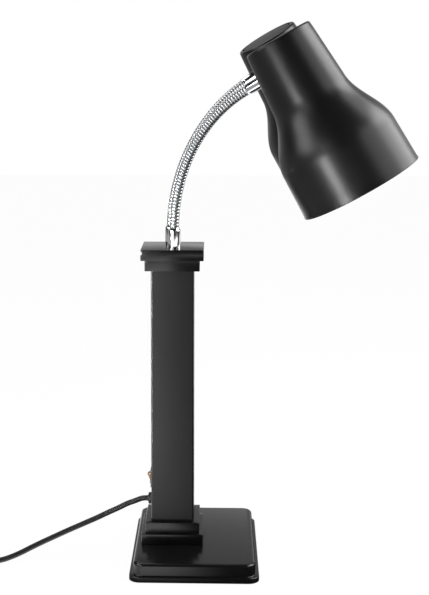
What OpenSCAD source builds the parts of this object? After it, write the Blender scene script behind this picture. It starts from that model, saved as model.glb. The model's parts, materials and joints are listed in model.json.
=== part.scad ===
// Food heat lamp with two heads on flexible necks, a square column and a weighted base.
// Millimetres. The origin is on the column's centre line, at the table.
// +X is the way the necks lean, -Y is the front, and +Z is up.

/* [Base] */
// Width of the base pan's flange, along X
base_w = 163; // [155:1:190]
// Depth of the base pan's flange, along Y
base_d = 218; // [200:1:250]
// How far the base's centre lies from the column's centre line, along X
base_x = 29.4; // [22:0.1:34]
// Height of the base's flat top over the table
base_h = 23; // [20:0.5:28]
// Height of the flange's top over the table
flange_h = 7.4; // [5:0.1:9]
// Width of the flange's ledge round the raised top
ledge_w = 4.6; // [3:0.1:7]
// Radius of the flange's corners
flange_corner_r = 14; // [10:0.5:20]
// Radius of the raised top's rounded edge
base_edge_r = 3.8; // [1.5:0.1:4]
// Sheet thickness of the base pan
pan_wall = 1.5; // [1:0.1:2]
// Gap between the flange's lower edge and the table
flange_gap = 0.8; // [0.5:0.1:1]
// Thickness of the foam pad under the base
pad_t = 1.2; // [1:0.1:3]
// Thickness of the bottom plate
plate_t = 1.5; // [1:0.1:2.5]
// Width of the ballast, along X
ballast_w = 130; // [110:1:140]
// Depth of the ballast, along Y
ballast_d = 180; // [120:1:188]
// Distance of the plate screws from the ballast's edges
screw_inset = 14; // [10:1:25]

/* [Column] */
// Width of the square column
column_w = 55; // [52:1:60]
// Height of the column that shows between its two mouldings
column_show_h = 330; // [250:5:400]
// Wall of the column
column_wall = 1.5; // [1:0.1:2]
// Radius of the column's corners
column_corner_r = 2; // [1.6:0.1:4]
// Width of the step that touches the column
step_w = 70; // [66:1:76]
// Width of the outer step
outer_step_w = 80; // [78:1:90]
// Height of each step
step_h = 14; // [11:0.5:18]
// Radius of the steps' corners
step_corner_r = 1.5; // [0.5:0.1:3]
// Depth of the socket in each moulding that the column stands in
socket_depth = 10; // [6:0.5:11]
// Radius of the tie rod through the column
rod_r = 3.95; // [3:0.05:4.5]
// Width of the tie nuts across their flats
tie_nut_af = 13; // [11:0.5:15]
// Height of the tie nuts
tie_nut_h = 6.5; // [5:0.1:8]

/* [Necks] */
// Distance of each neck's foot from the column's centre, along Y
foot_y = 15; // [13:0.5:17]
// How far the feet stand askew, along X
foot_x = 2.3; // [0:0.1:4]
// Direction that the front neck leans to, away from +X
front_azimuth = 37.7; // [20:0.1:50]
// Direction that the back neck leans to, away from +X
back_azimuth = 35.1; // [20:0.1:50]
// Free length of each neck between its two ferrules
neck_free = 222.7; // [200:0.1:250]
// Rise of the front neck's end over the horizontal
front_rise = 25.2; // [15:0.1:40]
// Rise of the back neck's end over the horizontal
back_rise = 29.6; // [15:0.1:40]
// How the front neck's bend is spread, where 1 is an even bend
front_spread = 0.966; // [0.7:0.001:1.2]
// How the back neck's bend is spread, where 1 is an even bend
back_spread = 0.885; // [0.7:0.001:1.2]
// Radius of the hose over its ribs
hose_r = 6.2; // [5.8:0.1:6.5]
// Depth of the grooves between the ribs
groove_depth = 0.7; // [0.4:0.05:0.9]
// Radius of the hose's bore
hose_bore_r = 3; // [2.5:0.1:3.2]
// Length of hose held inside each ferrule
hose_seat = 13; // [12.5:0.1:16]
// Radius of the foot ferrules
foot_ferrule_r = 8.2; // [7.8:0.1:9.5]
// Height of the foot ferrules
foot_ferrule_h = 25; // [22:0.5:30]
// Radius of the head ferrules at the hose
head_ferrule_r = 7.1; // [7:0.1:8]
// How much wider the head ferrules are at the shade
head_ferrule_flare = 0.8; // [0:0.1:1.5]
// Length of the head ferrules
head_ferrule_l = 25; // [20:0.5:30]
// Radius of the threaded nipples behind the ferrules
nipple_r = 5; // [4.5:0.1:5.4]
// Radius of the nipples' bore for the leads
nipple_bore_r = 3.5; // [2.5:0.1:3.8]
// Width of the nipples' nuts across their flats
nipple_nut_af = 14; // [13:0.5:16]
// Height of the nipples' nuts
nipple_nut_h = 4; // [3:0.1:6]

/* [Shades] */
// Length of each shade from its flat top to its mouth
shade_l = 201; // [190:1:215]
// Radius of the shade at its top
shade_top_r = 42; // [40:0.1:44]
// Radius of the shade where its bell starts to open
shade_waist_r = 47.3; // [46:0.1:50]
// Distance from the top to where the bell starts to open
shade_waist_s = 72; // [64:1:80]
// Radius of the shade where its bell is open
shade_bell_r = 73.3; // [70:0.1:76]
// Distance from the top to where the bell is open
shade_bell_s = 148; // [140:1:160]
// Radius of the shade at its mouth
shade_mouth_r = 75; // [73:0.1:78]
// How far the turned lip stands out from the mouth
shade_lip = 0.4; // [0.3:0.1:2]
// Sheet thickness of the shade
shade_wall = 1.2; // [0.8:0.1:1.8]
// Radius of the shade's rounded top edge
shade_edge_r = 3; // [2:0.1:4]
// Radius of the crown disc let into the shade's top
crown_r = 34.5; // [30:0.1:35.5]
// Width of the groove round the crown disc
crown_groove = 2; // [1:0.1:2.5]
// Distance from the shade's top to where the neck enters
entry_s = 34.6; // [32:0.1:38]
// Turn of the front shade about its neck's end
front_roll = 16.5; // [0:0.1:20]
// Turn of the back shade about its neck's end
back_roll = 11.1; // [0:0.1:20]

/* [Lampholders and lamps] */
// Width of the bracket strip
bracket_w = 20; // [16:1:24]
// Thickness of the bracket strip
bracket_t = 2; // [1.5:0.1:3]
// Height of the bracket's underside over the neck's centre line
bracket_rise = 8.5; // [8.5:0.1:10]
// Radius of the lampholder's body
holder_r = 22; // [20:0.5:23]
// Length of the lampholder's body
holder_l = 52; // [50:0.5:56]
// Radius of the lampholder's bore
holder_bore_r = 15.2; // [14.8:0.1:16]
// Distance of each holder screw from the lampholder's centre
holder_screw_x = 10; // [8:0.5:12]
// Radius of the lamp's screw cap
lamp_cap_r = 13.3; // [13:0.1:13.5]
// Length of the lamp's screw cap
lamp_cap_l = 27; // [24:0.5:28]
// Length of the whole lamp
lamp_l = 136; // [130:1:140]
// Radius of the lamp's face
lamp_face_r = 61; // [56:0.5:62]
// Thickness of the lamp's glass
lamp_wall = 2.2; // [1.5:0.1:3]

/* [Switch] */
// Width of the switch's bezel, along Y
bezel_w = 15; // [14:0.5:18]
// Height of the switch's bezel
bezel_h = 24; // [23:0.5:28]
// How far the bezel stands out from the column
bezel_t = 2; // [1.6:0.1:2.5]
// Height of the switch's centre over the table
switch_z = 100.6; // [96:0.1:160]
// Radius of the rocker's ends about its pivot
rocker_r = 7.6; // [7:0.1:9]
// Width of the rocker
rocker_w = 9; // [8:0.1:10]
// How far the rocker's ends stand out from its pivot, level
rocker_rise = 4.1; // [3:0.1:4.5]
// Tilt of the rocker at each end of its travel
rocker_tilt = 14; // [10:0.5:16]

/* [Cord] */
// Height of the cord's gland over the table
gland_z = 72; // [71:0.1:74]
// Radius of the cord
cord_r = 3.5; // [3.3:0.05:3.6]
// Radius of the gland's flange
gland_flange_r = 7.6; // [7.2:0.1:9]
// Radius of the gland's barrel in the column's wall
gland_barrel_r = 6.1; // [5.6:0.1:6.5]
// Distance between the coil's turns, centre to centre
coil_pitch = 7.5; // [7.4:0.05:8]
// Number of turns in the coil
coil_turns = 6.25; // [2.25:1:6.25]
// Radius of the coil's outer turn, at the cord's centre
coil_r = 51.5; // [50:0.5:60]
// Radius of the plug's pins
pin_r = 2.4; // [2:0.1:2.4]
// Distance between the plug's pins
pin_spacing = 19; // [19:0.1:19.2]
// Length of the plug's pins
pin_l = 19; // [18:0.5:20]

/* [Hidden] */
$fn = 64;
eps = 0.01;
// Clearances: parts let into each other, threads, a drilled hole, and a pin that turns
let_in = 0.3;
thread_gap = 0.05;
hole_gap = 0.15;
pin_gap = 0.05;

// Heights of the base
pan_inside_w = base_w - 2 * (pan_wall + let_in);
pan_inside_d = base_d - 2 * (pan_wall + let_in);
pan_inside_r = flange_corner_r - pan_wall - let_in;
ballast_z = pad_t + plate_t;
ballast_h = base_h - pan_wall - ballast_z;
nut_pocket_r = tie_nut_af * 0.6 + 1.2;
nut_pocket_h = tie_nut_h + 2.5;
plate_screw_r = 2;
plate_screw_l = 11;

// Heights of the column and its two mouldings
plinth_z = base_h;
plinth_top = plinth_z + 2 * step_h;
column_z = plinth_top - socket_depth;
cap_z = plinth_top + column_show_h;
column_top = cap_z + socket_depth;
column_h = column_top - column_z;
column_half = column_w / 2;
top_plate_t = 2;
cap_top = cap_z + 2 * step_h;
cap_roof = 5;
cable_hole_r = 12;
socket_w = column_w + 2 * hole_gap;
cap_cavity_w = column_w - 11;
rod_z = ballast_z + 1.3;
rod_top = column_top + top_plate_t + tie_nut_h + 2.5;

// The necks, as rings of ribs along a bend that lies in one upright plane
seat_steps = 9;
free_steps = 154;
neck_steps = free_steps + 2 * seat_steps;
hose_sides = 8;
bore_every = 4;
hinge_shares = [0.125, 0.375, 0.625, 0.875];
hinge_rings = [for (s = hinge_shares) seat_steps + round(free_steps * s)];
rings_a_rib = 3;
rings_before_hinge = 1;
rings_after_hinge = 2;
ball_r = hose_r - 0.9;
cup_r = ball_r + let_in;
ferrule_bore_r = hose_r + 0.1;
ferrule_taper_h = 4;
foot_z = cap_top;
hose_z = foot_z + foot_ferrule_h - hose_seat;
nipple_l = 2 * step_h - socket_depth + nipple_nut_h + 2;
FRONT = -1;
BACK = 1;

// The shades, in a frame of their own: X along the neck's end, Z to the crown
shade_steps = 14;
entry_t = entry_s / shade_waist_s;
entry_r = shade_top_r + (shade_waist_r - shade_top_r) * entry_t;
crown_z = entry_s;
mouth_z = crown_z - shade_l;
rim_r = crown_r + crown_groove;
bracket_x = sqrt(pow(shade_top_r - shade_wall, 2) - pow(bracket_w / 2, 2)) - 0.1;
bracket_reach = holder_screw_x + 5;
holder_z = bracket_rise;
holder_mouth_z = holder_z - holder_l;
holder_roof = 18;
lamp_cap_z = holder_mouth_z;
lamp_tip_z = lamp_cap_z + lamp_cap_l;
lamp_face_z = lamp_tip_z - lamp_l;
cap_sheet = 1.2;
lamp_neck_l = 10;
shell_r = holder_bore_r - 0.2;
shell_bore_r = lamp_cap_r + 0.7;
holder_screw_r = 2;
holder_screw_l = 10;
tab_r = shade_top_r - shade_edge_r - 0.2;

// The switch and the gland, on the column's left face
wall_x = -column_half;
switch_body_w = rocker_w + 3.6;
switch_body_h = 2 * rocker_r + 1.6;
switch_body_d = 16;
pivot_x = wall_x - 0.6;
rocker_side_gap = 0.3;
rocker_end_gap = 0.3;
rocker_pin_r = 0.8;
rocker_pin_l = 1.3;
rocker_middle = rocker_rise - 1.2;
gland_flange_t = 3.6;
gland_nose_l = 2.6;
gland_nose_r = cord_r + 0.7;
gland_barrel_l = 15;
gland_bore_r = cord_r + 0.1;
gland_nut_af = gland_barrel_r * 2.9;
gland_nut_t = 4;
gland_x = wall_x - gland_flange_t - gland_nose_l;

// The terminal block, on the inside of the column's right wall, and the leads
inside_x = column_half - column_wall;
block_h = 24;
block_d = 12;
block_w = 26;
block_z = switch_z + 36;
lead_r = 1.3;
stud_z = gland_z - 8;

// The cord's route from its gland to the coil, and on to the plug
coil_z = 4.2;
coil_x = -290;
coil_y = -57 - coil_r;
cord_sides = 8;
coil_sides = 6;
coil_rings = 24;
coil_layer_h = coil_pitch;
cord_lead_points = [
    [gland_x, 0, gland_z], [gland_x - 7, 0, gland_z], [-50, -1, 68.5], [-61, -2, 64.5], [-72, -4, 59.5],
    [-86, -6, 53.5], [-100, -9, 47.5], [-114, -12, 42], [-128, -15, 36.5], [-142, -18, 31],
    [-156, -22, 25.5], [-170, -26, 20], [-184, -31, 14.5], [-197, -37, 9.5], [-209, -43, 6],
    [-220, -49, 4.2], [-232, -53, 3.6], [-244, -55.5, 3.6], [-257, -57, 3.8], [-270, -57, 4.2],
    [-280, -57, 4.2], [coil_x, -57, coil_z]
];
tail_x = coil_x - coil_r;
plug_z = 19;
plug_y = coil_y - 58;
tail_z = coil_z + coil_layer_h;
cord_tail_points = [
    [tail_x, coil_y, tail_z], [tail_x, coil_y - 8, tail_z], [tail_x, coil_y - 20, tail_z + 1.2],
    [tail_x, coil_y - 32, tail_z + 3.9], [tail_x, coil_y - 42, tail_z + 6.4],
    [tail_x, coil_y - 50, plug_z], [tail_x, plug_y, plug_z]
];
tie_t = 0.6;
tie_w = 8;
sleeve_l = 24;
plug_l = 30;
pin_seat = 8;
pin_root_r = pin_r - 0.4;
pin_relief = 0.5;

// A vector of length 1 along v
function unit(v) = v / norm(v);

// The direction in which a line of points runs, at each of them
function headings(p) = [for (i = [0 : len(p) - 1]) unit(p[min(i + 1, len(p) - 1)] - p[max(i - 1, 0)])];

// A sideways direction at each point, carried along the line without twist
function carried(t, first) = [
    for (i = 0, v = unit(first - (first * t[0]) * t[0]);
         i < len(t);
         i = i + 1, v = i < len(t) ? unit(v - (v * t[i]) * t[i]) : v) v
];

// The corners of a tube's rings, where r is a number or a list with a radius for each ring
function tube_corners(p, t, v, r, sides) = [
    for (i = [0 : len(p) - 1], j = [0 : sides - 1])
        let (a = 360 * j / sides)
        p[i] + (is_list(r) ? r[i] : r) * (cos(a) * v[i] + sin(a) * cross(t[i], v[i]))
];

// The triangles between a tube's rings, seen from outside
function tube_sides(rings, sides) = [
    for (i = [0 : rings - 2], j = [0 : sides - 1], half = [0, 1])
        let (a = i * sides + j, b = i * sides + (j + 1) % sides, c = a + sides, d = b + sides)
        half == 0 ? [a, c, d] : [a, d, b]
];

// The triangles that close a tube's two ends
function tube_ends(rings, sides) = [
    for (j = [1 : sides - 2], end = [0, 1])
        let (last = (rings - 1) * sides)
        end == 0 ? [0, j, j + 1] : [last, last + j + 1, last + j]
];

// A solid tube along a line of points
module tube(p, r, sides, first) {
    t = headings(p);
    polyhedron(
        tube_corners(p, t, carried(t, first), r, sides),
        concat(tube_sides(len(p), sides), tube_ends(len(p), sides))
    );
}

// The total length of a line of points
function path_length(p, i = 0) = i >= len(p) - 1 ? 0 : norm(p[i + 1] - p[i]) + path_length(p, i + 1);

// A rectangle with round corners
module rounded(w, d, r) {
    square([w - 2 * r, d], center = true);
    square([w, d - 2 * r], center = true);
    for (x = [-1, 1], y = [-1, 1])
        translate([x * (w / 2 - r), y * (d / 2 - r)]) circle(r);
}

// An upright block with round corners
module block(w, d, h, r) linear_extrude(h) rounded(w, d, r);

// A block whose upper edge is round
module soft_block(w, d, h, corner_r, edge_r) {
    hull() {
        linear_extrude(h - edge_r) rounded(w, d, corner_r, $fn = 32);
        for (x = [-1, 1], y = [-1, 1])
            translate([x * (w / 2 - corner_r), y * (d / 2 - corner_r), h - edge_r])
                rotate_extrude($fn = 32)
                    intersection() {
                        translate([corner_r - edge_r, 0]) circle(edge_r, $fn = 32);
                        square([corner_r, edge_r]);
                    }
    }
}

// A hexagon nut with its bore, from z = 0 up
module nut(af, h, bore_r) {
    difference() {
        cylinder(h, r = af / 2 / cos(30), $fn = 6);
        translate([0, 0, -1]) cylinder(h + 2, r = bore_r);
    }
}

// Puts its children at the base's own centre
module at_base() translate([base_x, 0, 0]) children();

// Puts its children at each plate screw
module at_plate_screws() {
    at_base()
        for (x = [-1, 1], y = [-1, 1])
            translate([x * (ballast_w / 2 - screw_inset), y * (ballast_d / 2 - screw_inset), 0]) children();
}

// Puts its children at each neck's foot
module at_feet() for (side = [FRONT, BACK]) translate([-side * foot_x, side * foot_y, 0]) children();

module base_pan() {
    raised_w = base_w - 2 * ledge_w;
    raised_d = base_d - 2 * ledge_w;
    raised_r = flange_corner_r - pan_wall;
    inner_w = raised_w - 2 * pan_wall;
    inner_d = raised_d - 2 * pan_wall;
    inner_r = raised_r - pan_wall;
    raised_z = flange_h - pan_wall / 2;
    color("black") difference() {
        union() {
            at_base() translate([0, 0, flange_gap])
                block(base_w, base_d, flange_h - flange_gap, flange_corner_r);
            at_base() translate([0, 0, raised_z])
                soft_block(raised_w, raised_d, base_h - raised_z, raised_r, base_edge_r);
        }
        at_base() translate([0, 0, -1])
            block(base_w - 2 * pan_wall, base_d - 2 * pan_wall, flange_h - pan_wall + 1,
                  flange_corner_r - pan_wall);
        at_base() translate([0, 0, 1]) block(inner_w, inner_d, base_h - pan_wall - 1, inner_r);
        cylinder(base_h + 1, r = rod_r + 4 * hole_gap);
    }
}

module base_pad() {
    color("dimgray") difference() {
        at_base() block(pan_inside_w, pan_inside_d, pad_t, pan_inside_r);
        at_plate_screws() translate([0, 0, -1]) cylinder(pad_t + 2, r = 2.4 * plate_screw_r);
    }
}

module bottom_plate() {
    color("silver") difference() {
        at_base() translate([0, 0, pad_t]) block(pan_inside_w, pan_inside_d, plate_t, pan_inside_r);
        at_plate_screws() {
            translate([0, 0, pad_t - 1]) cylinder(plate_t + 2, r = plate_screw_r + hole_gap);
            translate([0, 0, pad_t - eps])
                cylinder(plate_t - 0.4, r1 = 2 * plate_screw_r + thread_gap, r2 = plate_screw_r + hole_gap);
        }
    }
}

module ballast() {
    color("dimgray") difference() {
        at_base() translate([0, 0, ballast_z]) block(ballast_w, ballast_d, ballast_h, 6);
        translate([0, 0, ballast_z - 1]) cylinder(nut_pocket_h + 1, r = nut_pocket_r);
        translate([0, 0, ballast_z]) cylinder(ballast_h + 1, r = rod_r + 2 * hole_gap);
        at_plate_screws() translate([0, 0, ballast_z - 1])
            cylinder(plate_screw_l + 1, r = plate_screw_r + thread_gap);
    }
}

module plate_screws() {
    color("silver") at_plate_screws() difference() {
        union() {
            translate([0, 0, pad_t]) cylinder(plate_screw_l, r = plate_screw_r);
            translate([0, 0, pad_t]) cylinder(plate_t - 0.4, r1 = 2 * plate_screw_r, r2 = plate_screw_r);
        }
        for (a = [0, 90]) rotate(a)
            translate([-plate_screw_r, -0.4, pad_t - 1]) cube([2 * plate_screw_r, 0.8, 1.7]);
    }
}

// A moulding of two steps, the outer one below
module stepped_moulding() {
    block(outer_step_w, outer_step_w, step_h, step_corner_r);
    translate([0, 0, step_h]) block(step_w, step_w, step_h, step_corner_r);
}

module plinth() {
    color("black") difference() {
        translate([0, 0, plinth_z]) stepped_moulding();
        translate([0, 0, column_z]) block(socket_w, socket_w, socket_depth + 1, column_corner_r);
        translate([0, 0, plinth_z - 1]) cylinder(2 * step_h, r = cable_hole_r);
    }
}

module column() {
    inner_w = column_w - 2 * column_wall;
    cutout_w = switch_body_w + 2 * hole_gap;
    cutout_h = switch_body_h + 2 * hole_gap;
    color([0.12, 0.12, 0.13]) difference() {
        translate([0, 0, column_z]) block(column_w, column_w, column_h, column_corner_r);
        translate([0, 0, column_z - 1])
            block(inner_w, inner_w, column_h + 2, max(0.3, column_corner_r - column_wall));
        translate([wall_x - 1, -cutout_w / 2, switch_z - cutout_h / 2])
            cube([column_wall + 2, cutout_w, cutout_h]);
        translate([wall_x - 1, 0, gland_z]) rotate([0, 90, 0])
            cylinder(column_wall + 2, r = gland_barrel_r + hole_gap);
    }
}

module cap() {
    color("black") difference() {
        translate([0, 0, cap_top]) mirror([0, 0, 1]) stepped_moulding();
        translate([0, 0, cap_z - 1])
            block(socket_w, socket_w, socket_depth + top_plate_t + 1, column_corner_r);
        translate([0, 0, cap_z]) block(cap_cavity_w, cap_cavity_w, 2 * step_h - cap_roof, 3);
        at_feet() translate([0, 0, cap_z]) cylinder(2 * step_h + 1, r = nipple_r + hole_gap);
    }
}

module top_plate() {
    color("silver") difference() {
        translate([0, 0, column_top]) block(column_w - 2 * hole_gap, column_w - 2 * hole_gap, top_plate_t,
                                            column_corner_r);
        translate([0, 0, column_top - 1]) cylinder(top_plate_t + 2, r = rod_r + hole_gap);
        at_feet() translate([0, 0, column_top - 1]) cylinder(top_plate_t + 2, r = nipple_r + hole_gap);
    }
}

module tie_rod() color("silver") translate([0, 0, rod_z]) cylinder(rod_top - rod_z, r = rod_r);

module tie_nuts() {
    color("silver") {
        translate([0, 0, ballast_z + nut_pocket_h - tie_nut_h])
            nut(tie_nut_af, tie_nut_h, rod_r + thread_gap);
        translate([0, 0, column_top + top_plate_t]) nut(tie_nut_af, tie_nut_h, rod_r + thread_gap);
    }
}

// Lays its children's Z axis along -X, out of the column's left face, at a height
module out_of_wall(z) translate([wall_x, 0, z]) rotate([0, -90, 0]) children();

module switch_body() {
    opening_w = rocker_w + 2 * rocker_side_gap;
    opening_h = 2 * (rocker_r + rocker_end_gap);
    tab_l = 6;
    color([0.08, 0.08, 0.08]) difference() {
        union() {
            out_of_wall(switch_z) block(bezel_h, bezel_w, bezel_t, 1);
            translate([wall_x, -switch_body_w / 2, switch_z - switch_body_h / 2])
                cube([switch_body_d, switch_body_w, switch_body_h]);
            for (z = [-6, 6])
                translate([wall_x + switch_body_d - 1, -3, switch_z + z - 0.4]) cube([tab_l + 1, 6, 0.8]);
        }
        translate([pivot_x, opening_w / 2, switch_z]) rotate([90, 0, 0])
            cylinder(opening_w, r = rocker_r + rocker_end_gap);
        translate([wall_x - bezel_t - 1, -opening_w / 2, switch_z - opening_h / 2])
            cube([pivot_x - wall_x + bezel_t + 1, opening_w, opening_h]);
        translate([pivot_x, rocker_w / 2 + rocker_pin_l + 0.1, switch_z]) rotate([90, 0, 0])
            cylinder(rocker_w + 2 * rocker_pin_l + 0.2, r = rocker_pin_r + pin_gap);
    }
}

// The rocker's outline about its pivot, level: X is outwards and Y is up
module rocker_outline() {
    reach = sqrt(pow(rocker_r, 2) - pow(rocker_rise, 2));
    depth = rocker_r * 0.6;
    intersection() {
        circle(rocker_r);
        polygon([[-depth, -rocker_r], [-depth, rocker_r], [rocker_rise - 1, rocker_r], [rocker_rise, reach],
                 [rocker_middle, 0], [rocker_rise, -reach], [rocker_rise - 1, -rocker_r]]);
    }
}

module rocker() {
    color("orange") translate([pivot_x, 0, switch_z]) rotate([90, 0, 0]) {
        translate([0, 0, -rocker_w / 2])
            linear_extrude(rocker_w) rotate(rocker_tilt) mirror([1, 0]) rocker_outline();
        translate([0, 0, -rocker_w / 2 - rocker_pin_l])
            cylinder(rocker_w + 2 * rocker_pin_l, r = rocker_pin_r);
    }
}

module gland() {
    flange_edge_r = 1.2;
    nose_edge_r = 0.6;
    color([0.08, 0.08, 0.08]) out_of_wall(gland_z) rotate_extrude() {
        difference() {
            union() {
                square([gland_flange_r, gland_flange_t - flange_edge_r]);
                square([gland_flange_r - flange_edge_r, gland_flange_t]);
                translate([gland_flange_r - flange_edge_r, gland_flange_t - flange_edge_r])
                    circle(flange_edge_r);
                polygon([[0, gland_flange_t - 1], [gland_nose_r + 0.8, gland_flange_t - 1],
                         [gland_nose_r + 0.8, gland_flange_t],
                         [gland_nose_r, gland_flange_t + gland_nose_l - nose_edge_r],
                         [gland_nose_r - nose_edge_r, gland_flange_t + gland_nose_l],
                         [0, gland_flange_t + gland_nose_l]]);
                translate([0, -gland_barrel_l]) square([gland_barrel_r, gland_barrel_l + 1]);
            }
            translate([-1, -gland_barrel_l - 1])
                square([gland_bore_r + 1, gland_barrel_l + gland_flange_t + gland_nose_l + 2]);
        }
    }
}

module gland_nut() {
    color([0.08, 0.08, 0.08]) out_of_wall(gland_z) translate([0, 0, -column_wall - gland_nut_t])
        nut(gland_nut_af, gland_nut_t, gland_barrel_r + thread_gap);
}

module terminal_block() {
    color("ivory") difference() {
        translate([inside_x - block_d, -block_w / 2, block_z]) cube([block_d, block_w, block_h]);
        for (y = [-8, 0, 8]) {
            translate([inside_x - block_d / 2, y, block_z - 1]) cylinder(block_h + 2, r = lead_r + hole_gap);
            for (z = [6, block_h - 6])
                translate([inside_x - block_d - 1, y, block_z + z]) rotate([0, 90, 0])
                    cylinder(block_d / 2 - 1.5, r = 2);
        }
    }
}

module earth_stud() {
    stud_l = 10;
    color("gold") translate([inside_x, 0, stud_z]) rotate([0, -90, 0]) {
        cylinder(stud_l, r = plate_screw_r);
        cylinder(1, r = 4.4);
        translate([0, 0, 1]) nut(7, 3.2, plate_screw_r - eps);
    }
}

// The leads inside the column: the jacketed end in the gland, then single wires
module column_leads() {
    jacket_end = gland_x + gland_flange_t + gland_nose_l + gland_barrel_l + 3;
    tab_x = wall_x + switch_body_d + 7.4;
    block_foot_z = block_z - 0.5;
    block_x = inside_x - block_d / 2;
    lead_top = column_top - nipple_nut_h - 4.5;
    color([0.1, 0.1, 0.1]) translate([gland_x, 0, gland_z]) rotate([0, 90, 0])
        cylinder(jacket_end - gland_x, r = cord_r);
    color("sienna") tube([
        [jacket_end, -1.6, gland_z + 1.4], [jacket_end + 3, -3, gland_z + 3], [tab_x + 2, -8, gland_z + 12],
        [tab_x + 1, -8, switch_z - 12], [tab_x, -3, switch_z - 7.4]
    ], lead_r, 8, [0, 1, 0]);
    color("sienna") tube([
        [tab_x, -3, switch_z + 7.4], [tab_x + 2, -9, switch_z + 16], [2, -13, switch_z + 24],
        [block_x, -8, block_foot_z - 8], [block_x, -8, block_foot_z]
    ], lead_r, 8, [0, 1, 0]);
    color("royalblue") tube([
        [jacket_end, 1.6, gland_z + 1.4], [jacket_end + 4, 5, gland_z + 5], [2, 13, gland_z + 22],
        [8, 13, switch_z + 12], [block_x, 8, block_foot_z - 9], [block_x, 8, block_foot_z]
    ], lead_r, 8, [0, 1, 0]);
    color("yellowgreen") tube([
        [jacket_end, 0, gland_z - 1.8], [jacket_end + 4, -4, gland_z - 8], [2, -10, gland_z - 14],
        [12, -9, gland_z - 13], [inside_x - 7, -4, stud_z - 4],
        [inside_x - 6.6, 0, stud_z - plate_screw_r - lead_r - 0.15]
    ], lead_r, 8, [0, 1, 0]);
    for (side = [FRONT, BACK])
        color(side == FRONT ? "sienna" : "royalblue") tube([
            [block_x, side * 8, block_z + block_h + 0.5], [block_x, side * 8, block_z + block_h + 10],
            [block_x - 4, side * 12, block_z + block_h + 40], [8, side * 15, column_top - 60],
            [-side * foot_x, side * foot_y, lead_top - 12], [-side * foot_x, side * foot_y, lead_top]
        ], lead_r, 8, [0, 1, 0]);
}

// A ferrule with its nipple: Z runs from the nipple's seat to the hose, nipple below z = 0
module ferrule(r, h, nipple_length) {
    difference() {
        union() {
            cylinder(h - ferrule_taper_h, r = r);
            translate([0, 0, h - ferrule_taper_h])
                cylinder(ferrule_taper_h, r1 = r, r2 = max(ferrule_bore_r + 0.5, r - 1.2));
            translate([0, 0, -nipple_length]) cylinder(nipple_length + 1, r = nipple_r);
        }
        translate([0, 0, -nipple_length - 1]) cylinder(nipple_length + h + 2, r = nipple_bore_r);
        translate([0, 0, h - hose_seat]) cylinder(hose_seat + 1, r = ferrule_bore_r);
    }
}

module foot_ferrules() color("silver") at_feet() translate([0, 0, foot_z])
    ferrule(foot_ferrule_r, foot_ferrule_h, nipple_l);

module foot_nuts() color("silver") at_feet() translate([0, 0, column_top - nipple_nut_h])
    nut(nipple_nut_af, nipple_nut_h, nipple_r + thread_gap);

// Each neck's own lean and bend, and its shade's turn
function azimuth(side) = side == FRONT ? front_azimuth : back_azimuth;
function roll(side) = side == FRONT ? front_roll : back_roll;
function rise(side) = side == FRONT ? front_rise : back_rise;
function spread(side) = side == FRONT ? front_spread : back_spread;

// The neck's direction at a step: straight up in its foot, then leaning over, then straight
function neck_direction(side, k) =
    let (t = min(1, max(0, (k - seat_steps) / free_steps)),
         up = 90 - (90 - rise(side)) * pow(t, spread(side)))
    [cos(up) * cos(azimuth(side)), side * cos(up) * sin(azimuth(side)), sin(up)];

// The length of a step in the seats, and in the free neck
function step_length(k) = k < seat_steps || k >= seat_steps + free_steps
    ? hose_seat / seat_steps
    : neck_free / free_steps;

// The centre of every ring
function neck_points(side) = [
    for (k = 0, p = [-side * foot_x, side * foot_y, hose_z];
         k <= neck_steps;
         p = p + step_length(k) * neck_direction(side, k + 0.5), k = k + 1) p
];

// The level direction across each neck's plane
function across(side) = [-side * sin(azimuth(side)), cos(azimuth(side)), 0];

front_points = neck_points(FRONT);
back_points = neck_points(BACK);
front_headings = headings(front_points);
back_headings = headings(back_points);

// A stretch of the ribbed hose between two rings, with its bore.
// The end at a hinge below is hollowed to a cup, and the end at a hinge above carries a ball.
module hose(side, k) {
    p = side == FRONT ? front_points : back_points;
    t = side == FRONT ? front_headings : back_headings;
    last = len(hinge_rings) + 1;
    low = k == 1 ? 0 : hinge_rings[k - 2] + rings_after_hinge;
    high = k == last ? neck_steps : hinge_rings[k - 1] - rings_before_hinge;
    bore_high = k == last ? high : high + rings_before_hinge + bore_every;
    rings = [for (i = [low : high]) i];
    bore_rings = [for (i = [low : bore_every : bore_high]) i];
    bore_start = p[low] - 2 * t[low];
    bore_end = p[bore_high] + 2 * t[bore_high];
    color("silver") difference() {
        union() {
            polyhedron(
                tube_corners([for (i = rings) p[i]], [for (i = rings) t[i]], [for (i = rings) across(side)],
                             [for (i = rings) i % rings_a_rib == 0 ? hose_r - groove_depth : hose_r],
                             hose_sides),
                concat(tube_sides(len(rings), hose_sides), tube_ends(len(rings), hose_sides))
            );
            if (k < last) translate(p[hinge_rings[k - 1]]) sphere(ball_r);
        }
        if (k > 1) translate(p[hinge_rings[k - 2]]) sphere(cup_r);
        tube(concat([bore_start], [for (i = bore_rings) p[i]], [bore_end]), hose_bore_r, hose_sides,
             across(side));
    }
}

// Puts its children in a head's own frame: on the shade's axis, level with the neck's end
module at_head(side) {
    p = side == FRONT ? front_points : back_points;
    n = neck_direction(side, neck_steps);
    neck_end = p[neck_steps] + (head_ferrule_l - hose_seat) * n;
    translate(neck_end + entry_r * n) rotate([0, 0, side * azimuth(side)]) rotate([0, -rise(side), 0])
        rotate([-side * roll(side), 0, 0]) children();
}

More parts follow.
